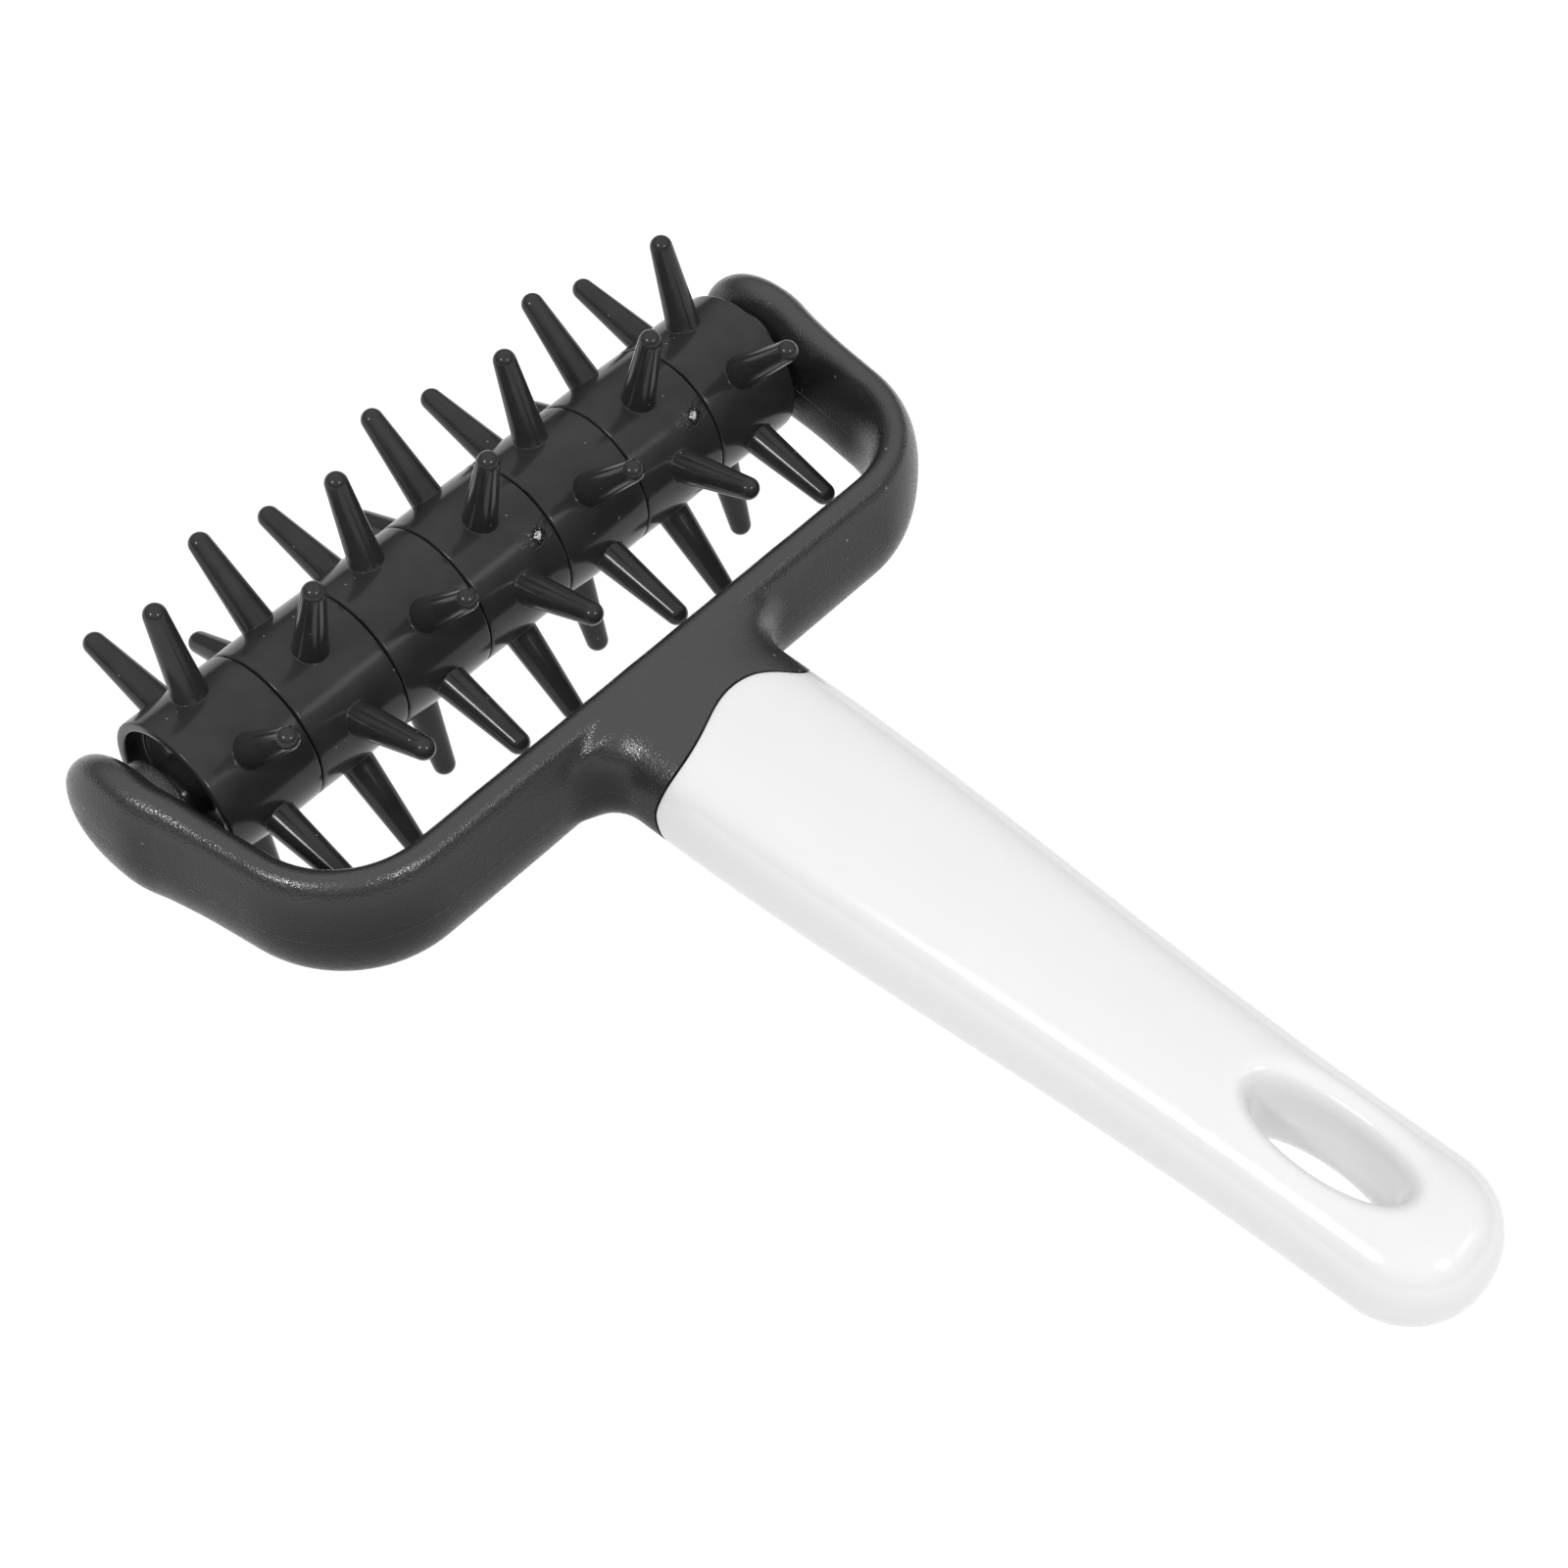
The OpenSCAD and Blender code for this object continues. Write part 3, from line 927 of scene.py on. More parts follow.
@dataclass
class Roller:
    """The spiked rings and the bushes that close the two ends."""

    axle: Vector
    ring: SpikedRing = field(default_factory=SpikedRing)
    rest_turn: float = 11.4
    quarters: tuple[int, ...] = (1, 2, 1, 0, 3, 0, 1)
    flange: float = 1.8
    flange_rim: float = 0.9
    flange_dish: float = 0.35
    flange_draft: float = 0.05
    around: int = 96
    collar_r: float = 4.5
    collar_fillet: float = 0.5
    soft: float = 0.2
    rod_bore_r: float = 2.05
    side_gap: float = 0.3
    boss_face: float = 57.4
    fit: float = 0.05
    unmarked: Point = (100.0, 0.0, 0.0)

    def build_rings(self, finish: bpy.types.Material) -> None:
        """Grows the rings and seats them along the axle.

        Args:
            finish: The rings' material.
        """
        tree = self.ring.tree()
        keys = {item.name: item.identifier for item in tree.interface.items_tree}
        sixth = self.ring.tile()
        stub = add("gate_stub", self.ring.gate())
        for index, quarter in enumerate(self.quarters, 1):
            piece = add(f"ring_{index}_moulding", sixth.copy())
            grow = piece.modifiers.new("grow", "NODES")
            grow.node_group = tree
            place = (index - (len(self.quarters) + 1) / 2) * self.ring.pitch * MM
            values = {"Gate": stub, "Spikes": self.ring.spikes, "Bore": self.ring.bore * MM,
                      "Length": self.ring.pitch * MM,
                      "Turn": math.radians(self.rest_turn + 90 * quarter),
                      "Place": (place, self.axle.y, self.axle.z), "Finish": finish}
            for name, value in values.items():
                grow[keys[name]] = value
            bake(piece)
            smooth(piece)
            install(piece, Body.ROLLER, f"ring_{index}")
        drop(stub)
        bpy.data.meshes.remove(sixth)

    def bush_profile(self) -> list[tuple[float, float]]:
        """Returns the bush's closed profile, as pairs of place along the axle and radius."""
        seat = len(self.quarters) * self.ring.pitch / 2 - self.ring.hollow_depth + self.fit
        face, end = seat + self.flange, self.boss_face - self.side_gap
        outer, soft, fillet = self.ring.hollow_r - self.fit, self.soft, self.collar_fillet
        inner, root = outer - self.flange_rim, self.collar_r + fillet
        dish = face - self.flange_dish
        profile = [(seat, self.rod_bore_r), (seat, outer - soft)]
        profile += arc((face - soft, outer - soft), soft, 90, 0, 3)
        profile += arc((face - soft, inner + soft), soft, 0, -90, 3)
        profile += [(dish, inner - self.flange_draft), (dish, root)]
        profile += arc((dish + fillet, root), fillet, 180, 270, 3)
        profile += arc((end - soft, self.collar_r - soft), soft, 90, 0, 3)
        profile += [(end, self.rod_bore_r + soft), (end - soft, self.rod_bore_r),
                    (seat, self.rod_bore_r)]
        return profile

    def build_bushes(self, finish: bpy.types.Material) -> None:
        """Turns the two end bushes.

        Args:
            finish: The bushes' material.
        """
        for side in ("left", "right"):
            mesh = turned(side, self.bush_profile(), self.around, self.axle, side == "left")
            piece = add(f"bush_{side}_moulding", mesh)
            self.mark(mesh)
            smooth(piece)
            install(piece, Body.ROLLER, f"bush_{side}", finish)

    def mark(self, mesh: bpy.types.Mesh) -> None:
        """Stores each point's place in millimetres, well away from the finish's gate mark.

        Args:
            mesh: The mesh that gets the attribute.
        """
        points = points_of(mesh) / MM - np.array(self.axle / MM) + self.unmarked
        mark = mesh.attributes.new("moulding", "FLOAT_VECTOR", "POINT")
        mark.data.foreach_set("vector", points.astype(np.float32).ravel())


# Yoke and handle --------------------------------------------------------------------------


@dataclass
class Grip:
    """The common outline of the neck and the handle."""

    joint_y: float = -50.8
    nose_y: float = -171.42
    neck_w: float = 30.6
    neck_t: float = 19.2
    tail_w: float = 23.2
    tail_t: float = 16.0
    taper_end: float = 10.0
    squareness: float = 3.0
    tail_squareness: float = 2.6
    nose_full: float = 3.2
    joint_line: tuple[tuple[float, float], ...] = (
        (0, 1.2), (8, 0.7), (15, 0.2), (26, -0.5), (37, -1.1), (45, -1.3), (52, -0.9), (57.4, -0.2),
        (62.9, 0.95), (68.6, 1.96), (74.3, 2.79), (79.9, 3.3), (85.5, 3.5), (88.6, 3.45),
        (90.4, 3.1), (93.5, 2.5), (98.1, 1.81), (103.7, 1.15), (110.2, 0.6), (121.2, 0.07),
        (129.6, -0.1), (138.8, -0.1), (154.7, 0.12), (166.7, 0.46), (173, 0.76), (180, 1.2))
    line_soft: float = 2.4
    joint_fade: float = 14.0

    @property
    def tail_r(self) -> float:
        """Radius of the round end, seen from above."""
        return self.tail_w / 2

    @property
    def tail_y(self) -> float:
        """Where the round end starts."""
        return self.nose_y + self.tail_r

    def even_turns(self, start: float, end: float, count: int) -> np.ndarray:
        """Angles round the section that lie evenly along its outline.

        Args:
            start: The first angle, in radians.
            end: The last angle.
            count: How many.

        Returns:
            The angles.
        """
        fine = np.linspace(start, end, 40 * count)
        run = self.run(fine)
        return np.interp(np.linspace(0, run[-1], count), run, fine)

    def run(self, turns: np.ndarray) -> np.ndarray:
        """Measures along the neck's outline.

        Args:
            turns: Angles round it, in radians.

        Returns:
            The length from the first angle to each.
        """
        flat = oval(self.neck_w / 2, self.neck_t / 2, self.squareness, turns)
        return np.concatenate([[0], np.cumsum(np.linalg.norm(np.diff(flat, axis=0), axis=1))])

    def half_w(self, y: np.ndarray) -> np.ndarray:
        """Gives the outline from above.

        Args:
            y: Places along the grip.

        Returns:
            Half the width at each.
        """
        run = (self.joint_y - y) / (self.joint_y - self.tail_y - self.taper_end)
        past = np.clip((self.tail_y - y) / self.tail_r, 0, 1)
        return blend(self.neck_w, self.tail_w, ease(run)) / 2 * np.sqrt(1 - past ** 2)

    def half_t(self, y: np.ndarray) -> np.ndarray:
        """Gives the outline from the side.

        Args:
            y: Places along the grip.

        Returns:
            Half the thickness at each.
        """
        run = (self.joint_y - y) / (self.joint_y - self.tail_y)
        past = np.clip((self.tail_y - y) / self.tail_r, 0, 1)
        return blend(self.neck_t, self.tail_t, ease(run)) / 2 * np.sqrt(1 - past ** self.nose_full)

    def square(self, y: np.ndarray) -> np.ndarray:
        """Returns the section's exponent at y."""
        run = (self.joint_y - y) / (self.joint_y - self.tail_y)
        return blend(self.squareness, self.tail_squareness, ease(run))

    def rise(self, turns: np.ndarray) -> np.ndarray:
        """Follows the joint line, which is the same on the upper and the lower face.

        Args:
            turns: Angles round the section, in radians.

        Returns:
            How far the line rises there, smoothed along the outline.
        """
        fine = np.linspace(0, math.pi, 1801)
        run = self.run(fine)
        stops, rises = np.array(self.joint_line).T
        even = np.linspace(0, run[-1], 601)
        line = np.interp(even, np.interp(np.radians(stops), fine, run), rises)
        reach = int(self.line_soft / even[1])
        window = np.hanning(2 * reach + 1)
        line = np.convolve(np.pad(line, reach, "reflect"), window / window.sum(), "valid")
        folded = np.abs((np.asarray(turns) + math.pi) % math.tau - math.pi)
        return np.interp(np.interp(folded, fine, run), even, line)

    def face(self, y: np.ndarray, turns: np.ndarray, follow: np.ndarray | float = 0,
             inset: float = 0) -> np.ndarray:
        """Points on the skin.

        Args:
            y: Distances along the grip.
            turns: Angles round its section, which y follows in shape.
            follow: How much of the joint line's rise the points take.
            inset: How far the points lie inside the skin.

        Returns:
            The points.
        """
        power = 2 / self.square(y)
        c, s = np.cos(turns), np.sin(turns)
        x = (self.half_w(y) - inset) * np.sign(c) * np.abs(c) ** power
        z = (self.half_t(y) - inset) * np.sign(s) * np.abs(s) ** power
        return np.stack([x, y + follow * self.rise(turns), z], -1)


@dataclass
class Yoke:
    """The arms, bar, neck, thrust bosses and tang, one moulding."""

    axle: Vector
    grip: Grip
    roller_half: float = 56.0
    arm_gap: float = 2.6
    arm_w: float = 7.4
    arm_h: float = 19.2
    eye_h: float = 20.6
    eye_reach: float = 12.1
    eye_w: float = 8.8
    arm_lean: float = 8.3
    bar_h: float = 19.8
    bar_y: float = -36.3
    corner_r: float = 16.6
    squareness: float = 2.25
    eye_full: float = 2.6
    eye_blend: float = 1.4
    lean_blend: float = 3.0
    boss_r: float = 7.0
    boss_h: float = 1.2
    boss_soft: float = 0.35
    boss_around: int = 72
    seat_r: float = 2.05
    seat_depth: float = 6.0
    seat_run_in: float = 3.0
    seat_around: int = 48
    neck_fillet: float = 6.0
    neck_root: float = 0.6
    neck_run: tuple[float, float] = (3.0, 5.0)
    joint_gap: float = 0.22
    tang: Point = (18.0, 62.0, 9.0)
    tang_rib: float = 2.2
    tang_root: float = 6.0
    voxel: float = 0.42
    around: int = 72
    neck_around: int = 160
    crease_beside: tuple[float, float] = (4.0, 6.0)
    crease_behind: tuple[float, float] = (4.5, 4.0)
    crease_ahead: tuple[float, float] = (3.0, 3.0)
    crease_rounds: int = 16

    @property
    def inner(self) -> float:
        """Place of the arms' inner faces along the axle."""
        return self.roller_half + self.arm_gap

    def section(self, x: float, y: float, turn: float, half_w: float,
                half_h: float) -> np.ndarray:
        """Sets one section of the arms and bar in its place.

        Args:
            x: Its middle along the axle.
            y: Its middle along the grip.
            turn: The direction of its width, in degrees.
            half_w: Half its width.
            half_h: Half its height.

        Returns:
            The section's ring of points.
        """
        flat = oval(half_w, half_h, self.squareness,
                    np.linspace(0, math.tau, self.around, endpoint=False))
        lie = math.radians(turn)
        return np.stack([x + flat[:, 0] * math.cos(lie), y + flat[:, 0] * math.sin(lie),
                         flat[:, 1]], -1)

    def half_bow(self) -> np.ndarray:
        """Returns the sections from the tip of the right arm to the middle of the bar."""
        half_w, half_eye = self.arm_w / 2, self.eye_w / 2
        arm_x = self.inner + half_eye
        lean = math.radians(self.arm_lean)
        run = (-self.bar_y - self.corner_r * (1 - math.sin(lean))) / math.cos(lean)
        centre_x = arm_x - run * math.sin(lean) - self.corner_r * math.cos(lean)
        centre_y = self.bar_y + self.corner_r
        rows = []
        # Round the eye, with closer sections near its tip.
        for t in np.radians(np.concatenate([np.linspace(88.5, 70, 8), np.linspace(66, 3, 22)])):
            swell = (1 - math.sin(t) ** self.eye_full) ** (1 / self.squareness)
            rows.append(self.section(arm_x, self.eye_reach * math.sin(t), 0, half_eye * swell,
                                     self.eye_h / 2 * math.cos(t)))
        # Down the arm, which bends in towards the bar.
        for t in np.linspace(0, 1, 40, endpoint=False):
            bent = self.arm_lean * float(ease(self.lean_blend * t))
            past = float(ease(self.eye_blend * t))
            rows.append(self.section(arm_x - run * t * math.sin(math.radians(bent)),
                                     -run * t * math.cos(lean), -bent,
                                     blend(half_eye, half_w, past),
                                     blend(self.eye_h, self.arm_h, past) / 2))
        # Round the corner.
        for t in np.linspace(0, 1, 41):
            turn = -self.arm_lean - (90 - self.arm_lean) * t
            lie = math.radians(turn)
            rows.append(self.section(centre_x + self.corner_r * math.cos(lie),
                                     centre_y + self.corner_r * math.sin(lie), turn, half_w,
                                     blend(self.arm_h, self.bar_h, float(ease(t))) / 2))
        # Along the bar to its middle.
        for t in np.linspace(0, 1, 30)[1:]:
            rows.append(self.section(centre_x * (1 - t), self.bar_y, -90, half_w, self.bar_h / 2))
        return np.array(rows)

    def bow(self) -> Skin:
        """Returns the arms and the bar as one closed skin."""
        right = self.half_bow()
        left = right[-2::-1] * np.array([-1, 1, 1])
        return Skin().tube(np.concatenate([right, left]))

    def neck(self, skin: Skin) -> None:
        """Adds the neck, flared where it leaves the bar and run on past the joint line.

        Args:
            skin: The skin that it is added to.
        """
        turns = self.grip.even_turns(0, math.tau, self.neck_around + 1)[:-1]
        back = self.bar_y - self.arm_w / 2
        reach = back - self.grip.joint_y
        half_w, half_t = self.grip.neck_w / 2, self.grip.neck_t / 2
        rows = []
        # The flare starts inside the bar, and its sections lie closer where it is steeper.
        for d in np.concatenate([[-self.neck_root], np.linspace(0, 1, 16) ** 1.5]):
            flare = self.neck_fillet * (1 - math.sqrt(1 - (1 - max(d, 0)) ** 2))
            flat = oval(half_w + flare, half_t, self.grip.squareness, turns)
            y = back - self.neck_fillet * d
            follow = max(d, 0) * self.neck_fillet / reach
            rows.append(np.stack([flat[:, 0], y + follow * self.grip.rise(turns), flat[:, 1]], -1))
        flat = oval(half_w, half_t, self.grip.squareness, turns)
        before, past = self.neck_run
        for y in np.linspace(self.grip.joint_y + before, self.grip.joint_y - past, 8):
            rows.append(np.stack([flat[:, 0], y + self.grip.rise(turns), flat[:, 1]], -1))
        skin.tube(np.array(rows))

    def joint_cutter(self) -> bpy.types.Mesh:
        """Returns the block that ends the neck on the joint line."""
        turns = self.grip.even_turns(0, math.tau, self.neck_around + 1)[:-1]
        rows = []
        # Shares of the neck's section, and how far past the joint line they lie.
        for scale, depth in ((0.02, 0), (0.5, 0), (1, 0), (1.3, 0), (1.3, 14)):
            flat = oval(self.grip.neck_w / 2 * scale, self.grip.neck_t / 2 * scale,
                        self.grip.squareness, turns)
            lift = self.grip.rise(turns)
            lift = blend(lift.mean(), lift, min(scale, 1))
            y = self.grip.joint_y + self.joint_gap - depth + lift
            rows.append(np.stack([flat[:, 0], y, flat[:, 1]], -1))
        return Skin().tube(np.array(rows)).mesh("joint_cutter", self.axle)

    def boss(self, mirror: bool) -> bpy.types.Mesh:
        """Makes one thrust boss with a rounded edge, rooted in the arm.

        Args:
            mirror: Whether it belongs to the left arm.

        Returns:
            The boss's mesh.
        """
        face, soft, root = self.inner - self.boss_h, self.boss_soft, self.inner + self.arm_w / 2
        profile = [(face, 0.0)] + arc((face + soft, self.boss_r - soft), soft, 180, 90, 4)
        profile += [(root, self.boss_r), (root, 0.0)]
        return turned("boss", profile, self.boss_around, self.axle, mirror)

    def seat(self, mirror: bool) -> bpy.types.Mesh:
        """Makes the hole that holds one end of the axle.

        Args:
            mirror: Whether it belongs to the left arm.

        Returns:
            The mesh that is taken away.
        """
        start, end = self.inner - self.seat_run_in, self.inner + self.seat_depth
        profile = [(start, 0.0), (start, self.seat_r), (end, self.seat_r), (end, 0.0)]
        return turned("seat", profile, self.seat_around, self.axle, mirror)

    def tang_bar(self) -> bpy.types.Mesh:
        """Returns the I section that the handle is pushed over."""
        width, length, thick = self.tang
        w, t, web = width / 2, thick / 2, self.tang_rib / 2
        inner = w - self.tang_rib
        half = [(-w, -t), (-w, t), (-inner, t), (-inner, web), (inner, web), (inner, t)]
        section = half + [(-x, -z) for x, z in half]
        joint = self.grip.joint_y
        rows = [[(x, y, z) for x, z in section] for y in (joint - length, joint + self.tang_root)]
        return Skin().tube(np.array(rows)).mesh("tang", self.axle)

    def crease(self, points: np.ndarray) -> np.ndarray:
        """Finds the crease between neck and bar.

        Args:
            points: Points about the axle, in millimetres.

        Returns:
            A share for each point, 1 in the crease and 0 away from it.
        """
        root = self.bar_y - self.arm_w / 2
        beside, behind, ahead = (
            ease((place - start) / fade)
            for place, (start, fade) in (
                (np.abs(points[:, 0]) - self.grip.neck_w / 2, self.crease_beside),
                (points[:, 1] - self.grip.joint_y, self.crease_behind),
                (points[:, 1] - root, self.crease_ahead)))
        return (1 - beside) * behind * (1 - ahead)

    def build(self, finish: bpy.types.Material) -> None:
        """Makes the moulding and puts it in the frame node's place.

        Args:
            finish: Its material.
        """
        skin = self.bow()
        self.neck(skin)
        piece = add("yoke_moulding", skin.mesh("yoke_moulding", self.axle))
        merge = piece.modifiers.new("merge", "REMESH")
        merge.mode = "VOXEL"
        merge.voxel_size = self.voxel * MM
        merge.adaptivity = 0
        bake(piece)
        mesh = piece.data
        relax(mesh, 12, KEEP_SIZE)
        points = points_of(mesh) / MM - np.array(self.axle / MM)
        relax(mesh, self.crease_rounds, KEEP_SIZE[:1], self.crease(points))
        relax(mesh, 6, KEEP_SIZE)
        cut(piece, self.joint_cutter(), Cut.DIFFERENCE)
        cut(piece, self.tang_bar(), Cut.UNION)
        for mirror in (False, True):
            cut(piece, self.boss(mirror), Cut.UNION)
            cut(piece, self.seat(mirror), Cut.DIFFERENCE)
        smooth(piece)
        install(piece, Body.YOKE, "frame", finish)


@dataclass
class Handle:
    """The white grip with its hanging slot, whose rim and walls are drawn into its skin."""

    axle: Vector
    grip: Grip
    edge: float = 0.35
    slot_len: float = 21.2
    slot_w: float = 7.8
    slot_end: float = 13.8
    upper_draft: float = 1.0
    lower_draft: float = 0.6
    rim: float = 2.9
    rim_drop: float = 0.6
    rim_lead: float = 0.1
    margin: float = 7.0
    low_margin: float = 5.6
    columns: int = 80
    side_steps: int = 44
    body_steps: int = 90
    nose_steps: int = 30
    pocket: Point = (18.1, 62.1, 9.1)
    pocket_mouth: float = 9.0
    crease_angle: float = 50.0

    @property
    def slot_y(self) -> float:
        """Middle of the slot."""
        return self.grip.nose_y + self.slot_end + self.slot_len / 2

    @property
    def field_top(self) -> float:
        """Where the region round the slot starts."""
        return self.slot_y + self.slot_len / 2 + self.margin

    @property
    def field_low(self) -> float:
        """Where the region round the slot ends."""
        return self.slot_y - self.slot_len / 2 - self.low_margin

    def body_rows(self, turns: np.ndarray, first: float, last: float) -> np.ndarray:
        """Rows of points along the grip.

        Args:
            turns: The angles of the points round the section.
            first: Where the joint's edge is.
            last: Where the slot's region starts.

        Returns:
            The rows of points.
        """
        rows = []
        for t in np.linspace(0, 1, 5):
            turn = t * math.pi / 2
            inset = self.edge * (1 - math.sin(turn))
            drop_y = self.edge * (1 - math.cos(turn))
            rows.append(self.grip.face(np.full_like(turns, first - drop_y), turns, 1.0, inset))
        for y in np.linspace(first - 1, last, self.body_steps):
            follow = max(0.0, 1 - (self.grip.joint_y - y) / self.grip.joint_fade)
            rows.append(self.grip.face(np.full_like(turns, y), turns, float(ease(follow))))
        return np.array(rows)

    def front(self, turns: np.ndarray) -> np.ndarray:
        """Rows that close the front.

        Args:
            turns: The angles of the points round the section.

        Returns:
            The rows of points, from the middle to the joint's edge.
        """
        lift = self.grip.rise(turns)
        edge = self.grip.face(np.full_like(turns, self.grip.joint_y), turns, 1.0, self.edge)
        middle = np.array([0, self.grip.joint_y + lift.mean(), 0])
        return np.array([blend(middle, edge, t) for t in np.linspace(0, 1, 5)])

    def slot_field(self, side: int) -> np.ndarray:
        """Rows from the slot's crease over its rim to the edge of the region round the slot.

        Args:
            side: 1 for the upper face, -1 for the lower one.

        Returns:
            The rows of points, to be closed round.
        """
        grip, k = self.grip, self.columns
        top, low = self.field_top, self.field_low
        us = grip.even_turns(0, math.pi, k + 1) / math.pi
        ys = np.linspace(top, low, self.side_steps + 1)
        rim = np.array([(u, top) for u in us] + [(1, y) for y in ys[1:]]
                       + [(u, low) for u in us[-2::-1]] + [(0, y) for y in ys[-2:0:-1]])
        u, y = rim.T
        outer = grip.face(y, side * math.pi * u)
        aim = np.arctan2((y - self.slot_y) / ((top - low) / 2), outer[:, 0] / grip.half_w(
            np.full_like(y, self.slot_y)))
        c, s = np.cos(aim), np.sin(aim)
        half_w, half_l = self.slot_w / 2, self.slot_len / 2
        normal = np.stack([c / half_w, s / half_l], -1)
        normal /= np.linalg.norm(normal, axis=1)[:, None]
        crease = np.stack([half_w * c, self.slot_y + half_l * s], -1)
        draft = self.upper_draft if side > 0 else self.lower_draft
        face_z = grip.half_t(np.array([self.slot_y]))[0]

        def surface(spot: np.ndarray) -> np.ndarray:
            """Lifts spots on to the grip's face.

            Args:
                spot: The spots, seen from above.

            Returns:
                The points over them.
            """
            share = np.clip(np.abs(spot[:, 0]) / grip.half_w(spot[:, 1]), 0, 1)
            square = grip.square(spot[:, 1])
            z = grip.half_t(spot[:, 1]) * (1 - share ** square) ** (1 / square)
            return np.column_stack([spot, side * z])

        def wall(z: float) -> np.ndarray:
            """Returns the points of the drafted wall at a height."""
            return np.column_stack([crease + normal * draft * z / face_z,
                                    np.full(len(aim), side * z)])

        rows = [wall(z) for z in np.linspace(0, face_z - self.rim - self.rim_drop, 7)]
        last = surface(crease + normal * (draft + self.rim))
        pull = surface(crease + normal * (draft + self.rim_lead))
        rows += list(curve(rows[-1], pull, last, 12)[1:])
        share = last[:, 0] / grip.half_w(last[:, 1])
        lie = np.sign(share) * np.abs(share) ** (grip.square(last[:, 1]) / 2)
        start_u = np.arccos(np.clip(lie, -1, 1)) / math.pi
        for t in np.linspace(0, 1, 15)[1:]:
            at_y = blend(last[:, 1], y, t)
            rows.append(grip.face(at_y, side * math.pi * blend(start_u, u, t)))
        return np.array(rows)

    def nose_rows(self, turns: np.ndarray) -> np.ndarray:
        """Rows round the nose.

        Args:
            turns: The angles of the points round the section.

        Returns:
            The rows of points, from the end of the slot's region.
        """
        grip = self.grip
        start = math.asin(min(1.0, (grip.tail_y - self.field_low) / grip.tail_r))
        rows = [grip.face(np.full_like(turns, grip.tail_y - grip.tail_r * math.sin(t)), turns)
                for t in np.linspace(start, math.radians(89.4), self.nose_steps)]
        rows.append(np.tile([0, grip.nose_y, 0], (len(turns), 1)))
        return np.array(rows)

    def build(self, finish: bpy.types.Material) -> None:
        """Makes the grip and puts it in the handle node's place.

        Args:
            finish: Its material.
        """
        skin = Skin()
        for side in (1, -1):
            turns = side * self.grip.even_turns(0, math.pi, self.columns + 1)
            skin.grid(self.slot_field(side), wrap=True)
            skin.grid(self.front(turns))
            skin.grid(self.body_rows(turns, self.grip.joint_y, self.field_top))
            skin.grid(self.nose_rows(turns))
        piece = add("handle_moulding", skin.mesh("handle_moulding", self.axle))
        width, length, thick = self.pocket
        start = self.grip.joint_y
        hole = box((-width / 2, start - length, -thick / 2),
                   (width / 2, start + self.pocket_mouth, thick / 2))
        cut(piece, hole.mesh("pocket", self.axle), Cut.DIFFERENCE)
        smooth(piece, self.crease_angle)
        install(piece, Body.YOKE, "handle", finish)


@dataclass
class AxleRod:
    """The steel rod that the roller turns on, with chamfered ends."""

    axle: Vector
    radius: float = 2.0
    half_length: float = 64.55
    chamfer: float = 0.4

    def build(self, finish: bpy.types.Material) -> None:
        """Makes the rod, fixed in the yoke.

        Args:
            finish: Its material.
        """
        end, r, soft = self.half_length, self.radius, self.chamfer
        profile = [(-end, 0.0), (-end, r - soft), (-end + soft, r), (end - soft, r),
                   (end, r - soft), (end, 0.0)]
        piece = add("axle_rod", turned("rod", profile, 64, self.axle))
        smooth(piece)
        install(piece, Body.YOKE, "axle", finish)


# Studio -----------------------------------------------------------------------------------


@dataclass(frozen=True)
class Lamp:
    """A soft rectangular light that looks at the tool."""

    name: str
    place: Point
    size: tuple[float, float]
    power: float
    aim: Point = (0.0, 0.03, 0.0)

    def build(self) -> None:
        """Adds the light."""
        light = bpy.data.lights.new(self.name, "AREA")
        light.shape = "RECTANGLE"
        light.size, light.size_y = self.size
        light.energy = self.power
        piece = bpy.data.objects.new(self.name, light)
        piece.location = self.place
        piece.rotation_euler = (Vector(self.aim) - Vector(self.place)).to_track_quat(
            "-Z", "Y").to_euler()
        bpy.context.scene.collection.objects.link(piece)


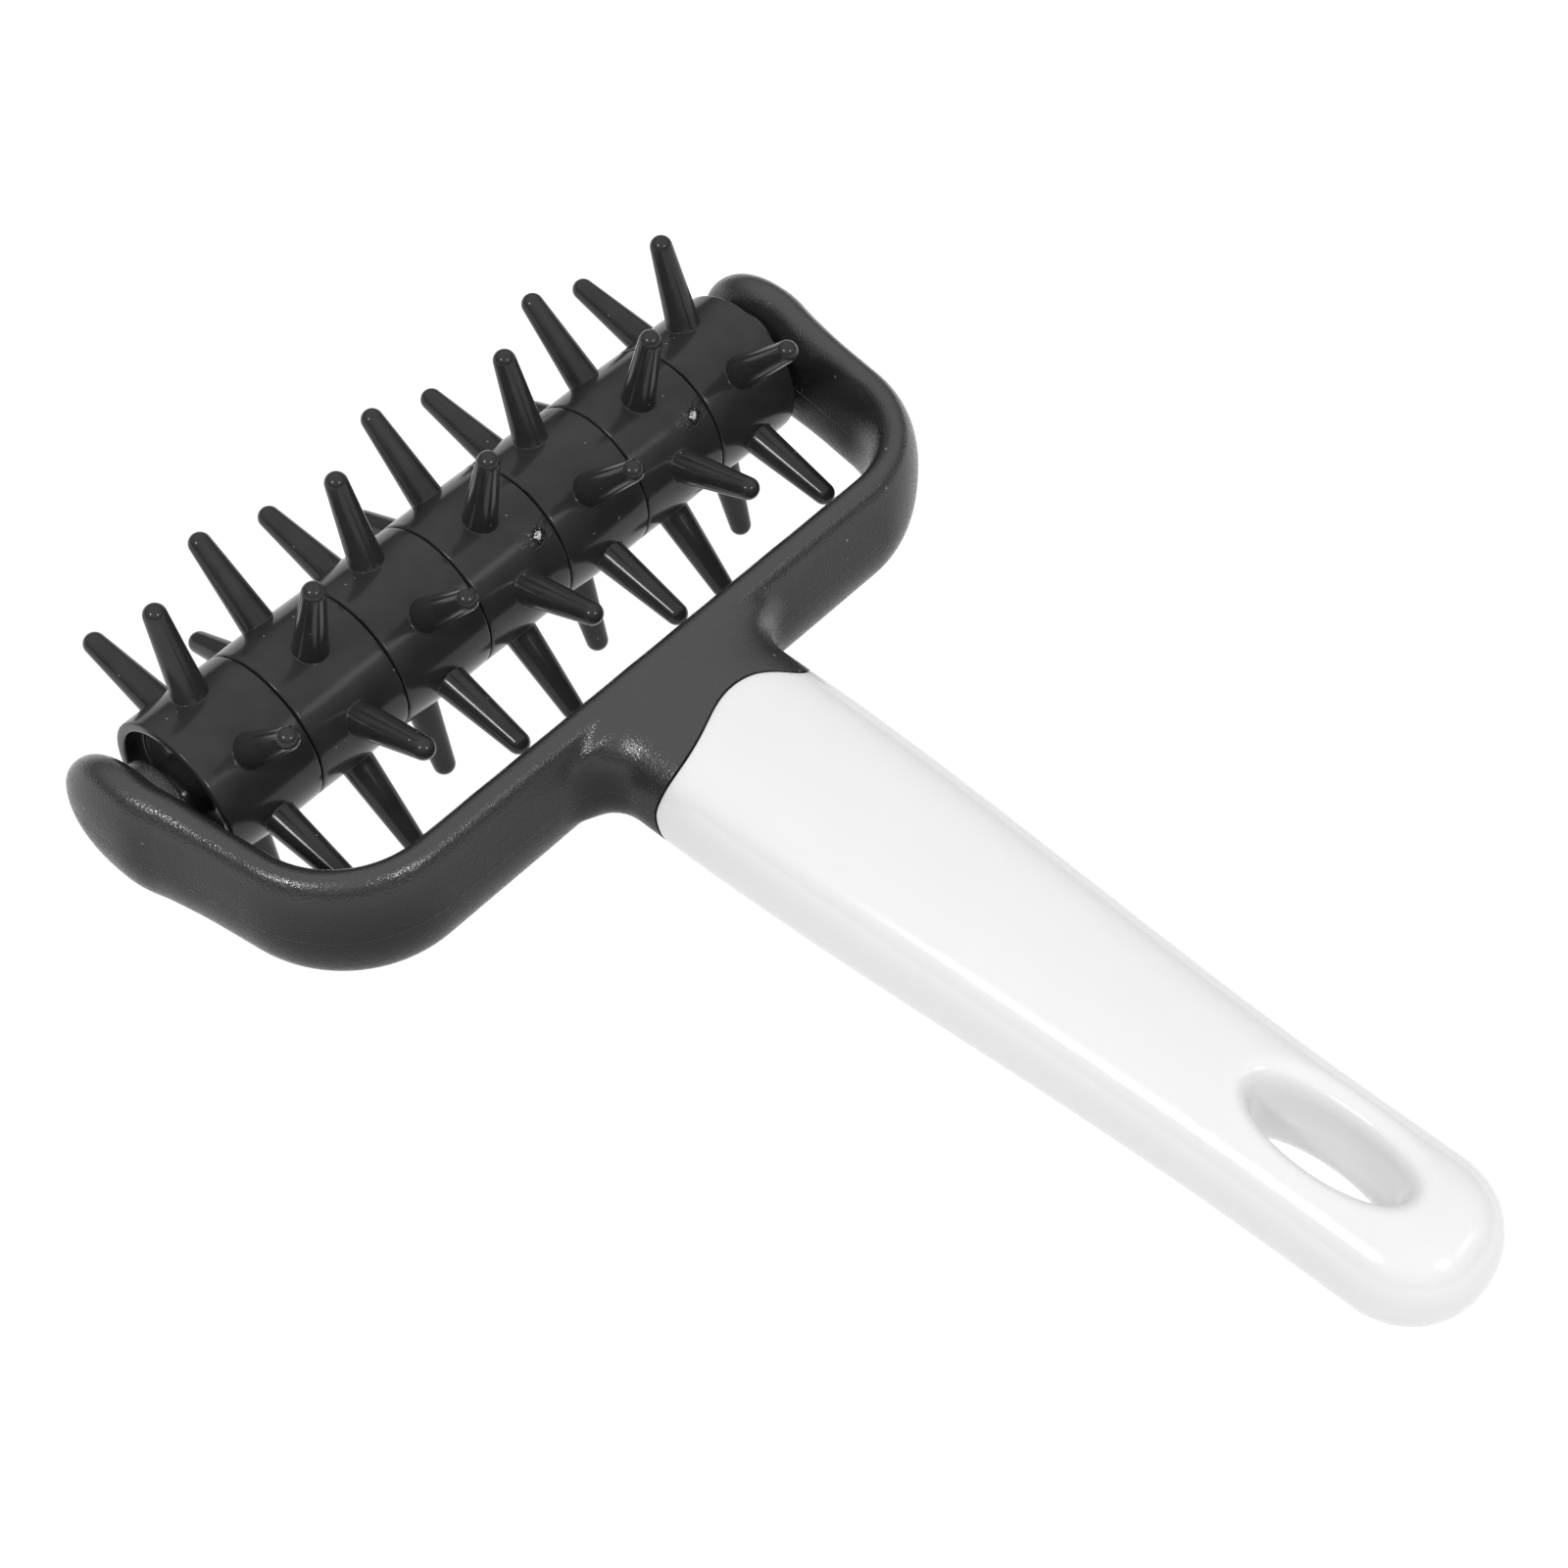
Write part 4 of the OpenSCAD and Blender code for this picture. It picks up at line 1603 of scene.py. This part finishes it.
@dataclass
class Studio:
    """Camera, floor and lights."""

    lens: float = 68.597
    sensor: float = 36.0
    camera_place: Point = (-0.18830, -0.14561, 0.31714)
    camera_right: Point = (0.66399, -0.74750, 0.01891)
    camera_up: Point = (0.58215, 0.53265, 0.61432)
    floor_z: float = -0.0268
    floor_half: float = 3000.0
    surround: tuple[float, float] = (0.05, 1.1)
    surround_span: tuple[float, float] = (0.1, 0.75)
    horizon: float = 0.93
    horizon_span: tuple[float, float] = (0.02, 0.08)
    lamps: tuple[Lamp, ...] = (
        Lamp("key_right", (0.0, -0.75, 0.72), (0.14, 0.14), 2.6),
        Lamp("key_left", (-0.70, 0.10, 0.76), (0.16, 0.16), 3.4),
        Lamp("fill", (0.42, -0.70, 0.62), (0.3, 0.16), 0.35),
    )

    def build(self) -> None:
        """Sets up the view."""
        self.build_camera()
        self.build_floor()
        for lamp in self.lamps:
            lamp.build()
        self.build_world()

    def build_camera(self) -> None:
        """Adds the camera at the photograph's place and angle."""
        data = bpy.data.cameras.new("camera")
        data.lens, data.sensor_width = self.lens, self.sensor
        data.clip_start = 0.01
        camera = bpy.data.objects.new("camera", data)
        right, up = Vector(self.camera_right), Vector(self.camera_up)
        back = right.cross(up)
        turn = Matrix((right, up, back)).transposed().to_4x4()
        camera.matrix_world = Matrix.Translation(self.camera_place) @ turn
        bpy.context.scene.collection.objects.link(camera)
        bpy.context.scene.camera = camera

    def build_floor(self) -> None:
        """Adds the pale floor."""
        side, z = self.floor_half, self.floor_z / MM
        rows = np.array([[(x, y, z) for x in (-side, side)] for y in (-side, side)])
        floor = add("floor", Skin().grid(rows).mesh("floor"))
        if floor.data.polygons[0].normal.z < 0:
            floor.data.flip_normals()
        floor.data.materials.append(PaleSweep().make())

    def build_world(self) -> None:
        """Sets an even white surround."""
        world = bpy.data.worlds.new("white_surround")
        world.use_nodes = True
        tree = world.node_tree
        shade = tree.nodes["Background"]
        shade.inputs["Color"].default_value = (1, 1, 1, 1)
        aim = node(tree, "ShaderNodeTexCoord").outputs["Generated"]
        height = node(tree, "ShaderNodeSeparateXYZ", links={"Vector": aim}).outputs["Z"]
        above, band = (
            node(tree, "ShaderNodeMapRange", dict(enumerate(span, 1)), {0: height}).outputs[0]
            for span in ((*self.surround_span, *self.surround),
                         (*self.horizon_span, self.horizon, 0.0)))
        total = node(tree, "ShaderNodeMath", {"operation": "ADD"}, {0: above, 1: band})
        tree.links.new(total.outputs[0], shade.inputs["Strength"])
        scene = bpy.context.scene
        scene.world = world
        scene.view_settings.view_transform = "Standard"
        scene.view_settings.look = "None"


def corners(bounds: tuple) -> list[list[float]]:
    """Returns a box's two corners as plain lists."""
    return [list(map(float, corner)) for corner in bounds]


def main() -> None:
    """Builds the tool piece by piece."""
    logging.basicConfig(level=logging.INFO, format="%(name)s: %(message)s")
    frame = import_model()
    low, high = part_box("axle")
    axle = (low + high) / 2
    gloss = GlossMoulding().make()
    Studio().build()
    roller = Roller(axle)
    roller.build_rings(gloss)
    roller.build_bushes(gloss)
    grip = Grip()
    Yoke(axle, grip).build(ErodedMoulding().make())
    Handle(axle, grip).build(WhiteMoulding().make())
    AxleRod(axle).build(DrawnSteel().make())
    core = frame["nodes"]["core"]
    core.data.materials.clear()
    core.data.materials.append(GlossMoulding("plain_polypropylene", marked=False).make())
    LOG.info("core: %d faces", len(core.data.polygons))


if __name__ == "__main__":
    main()
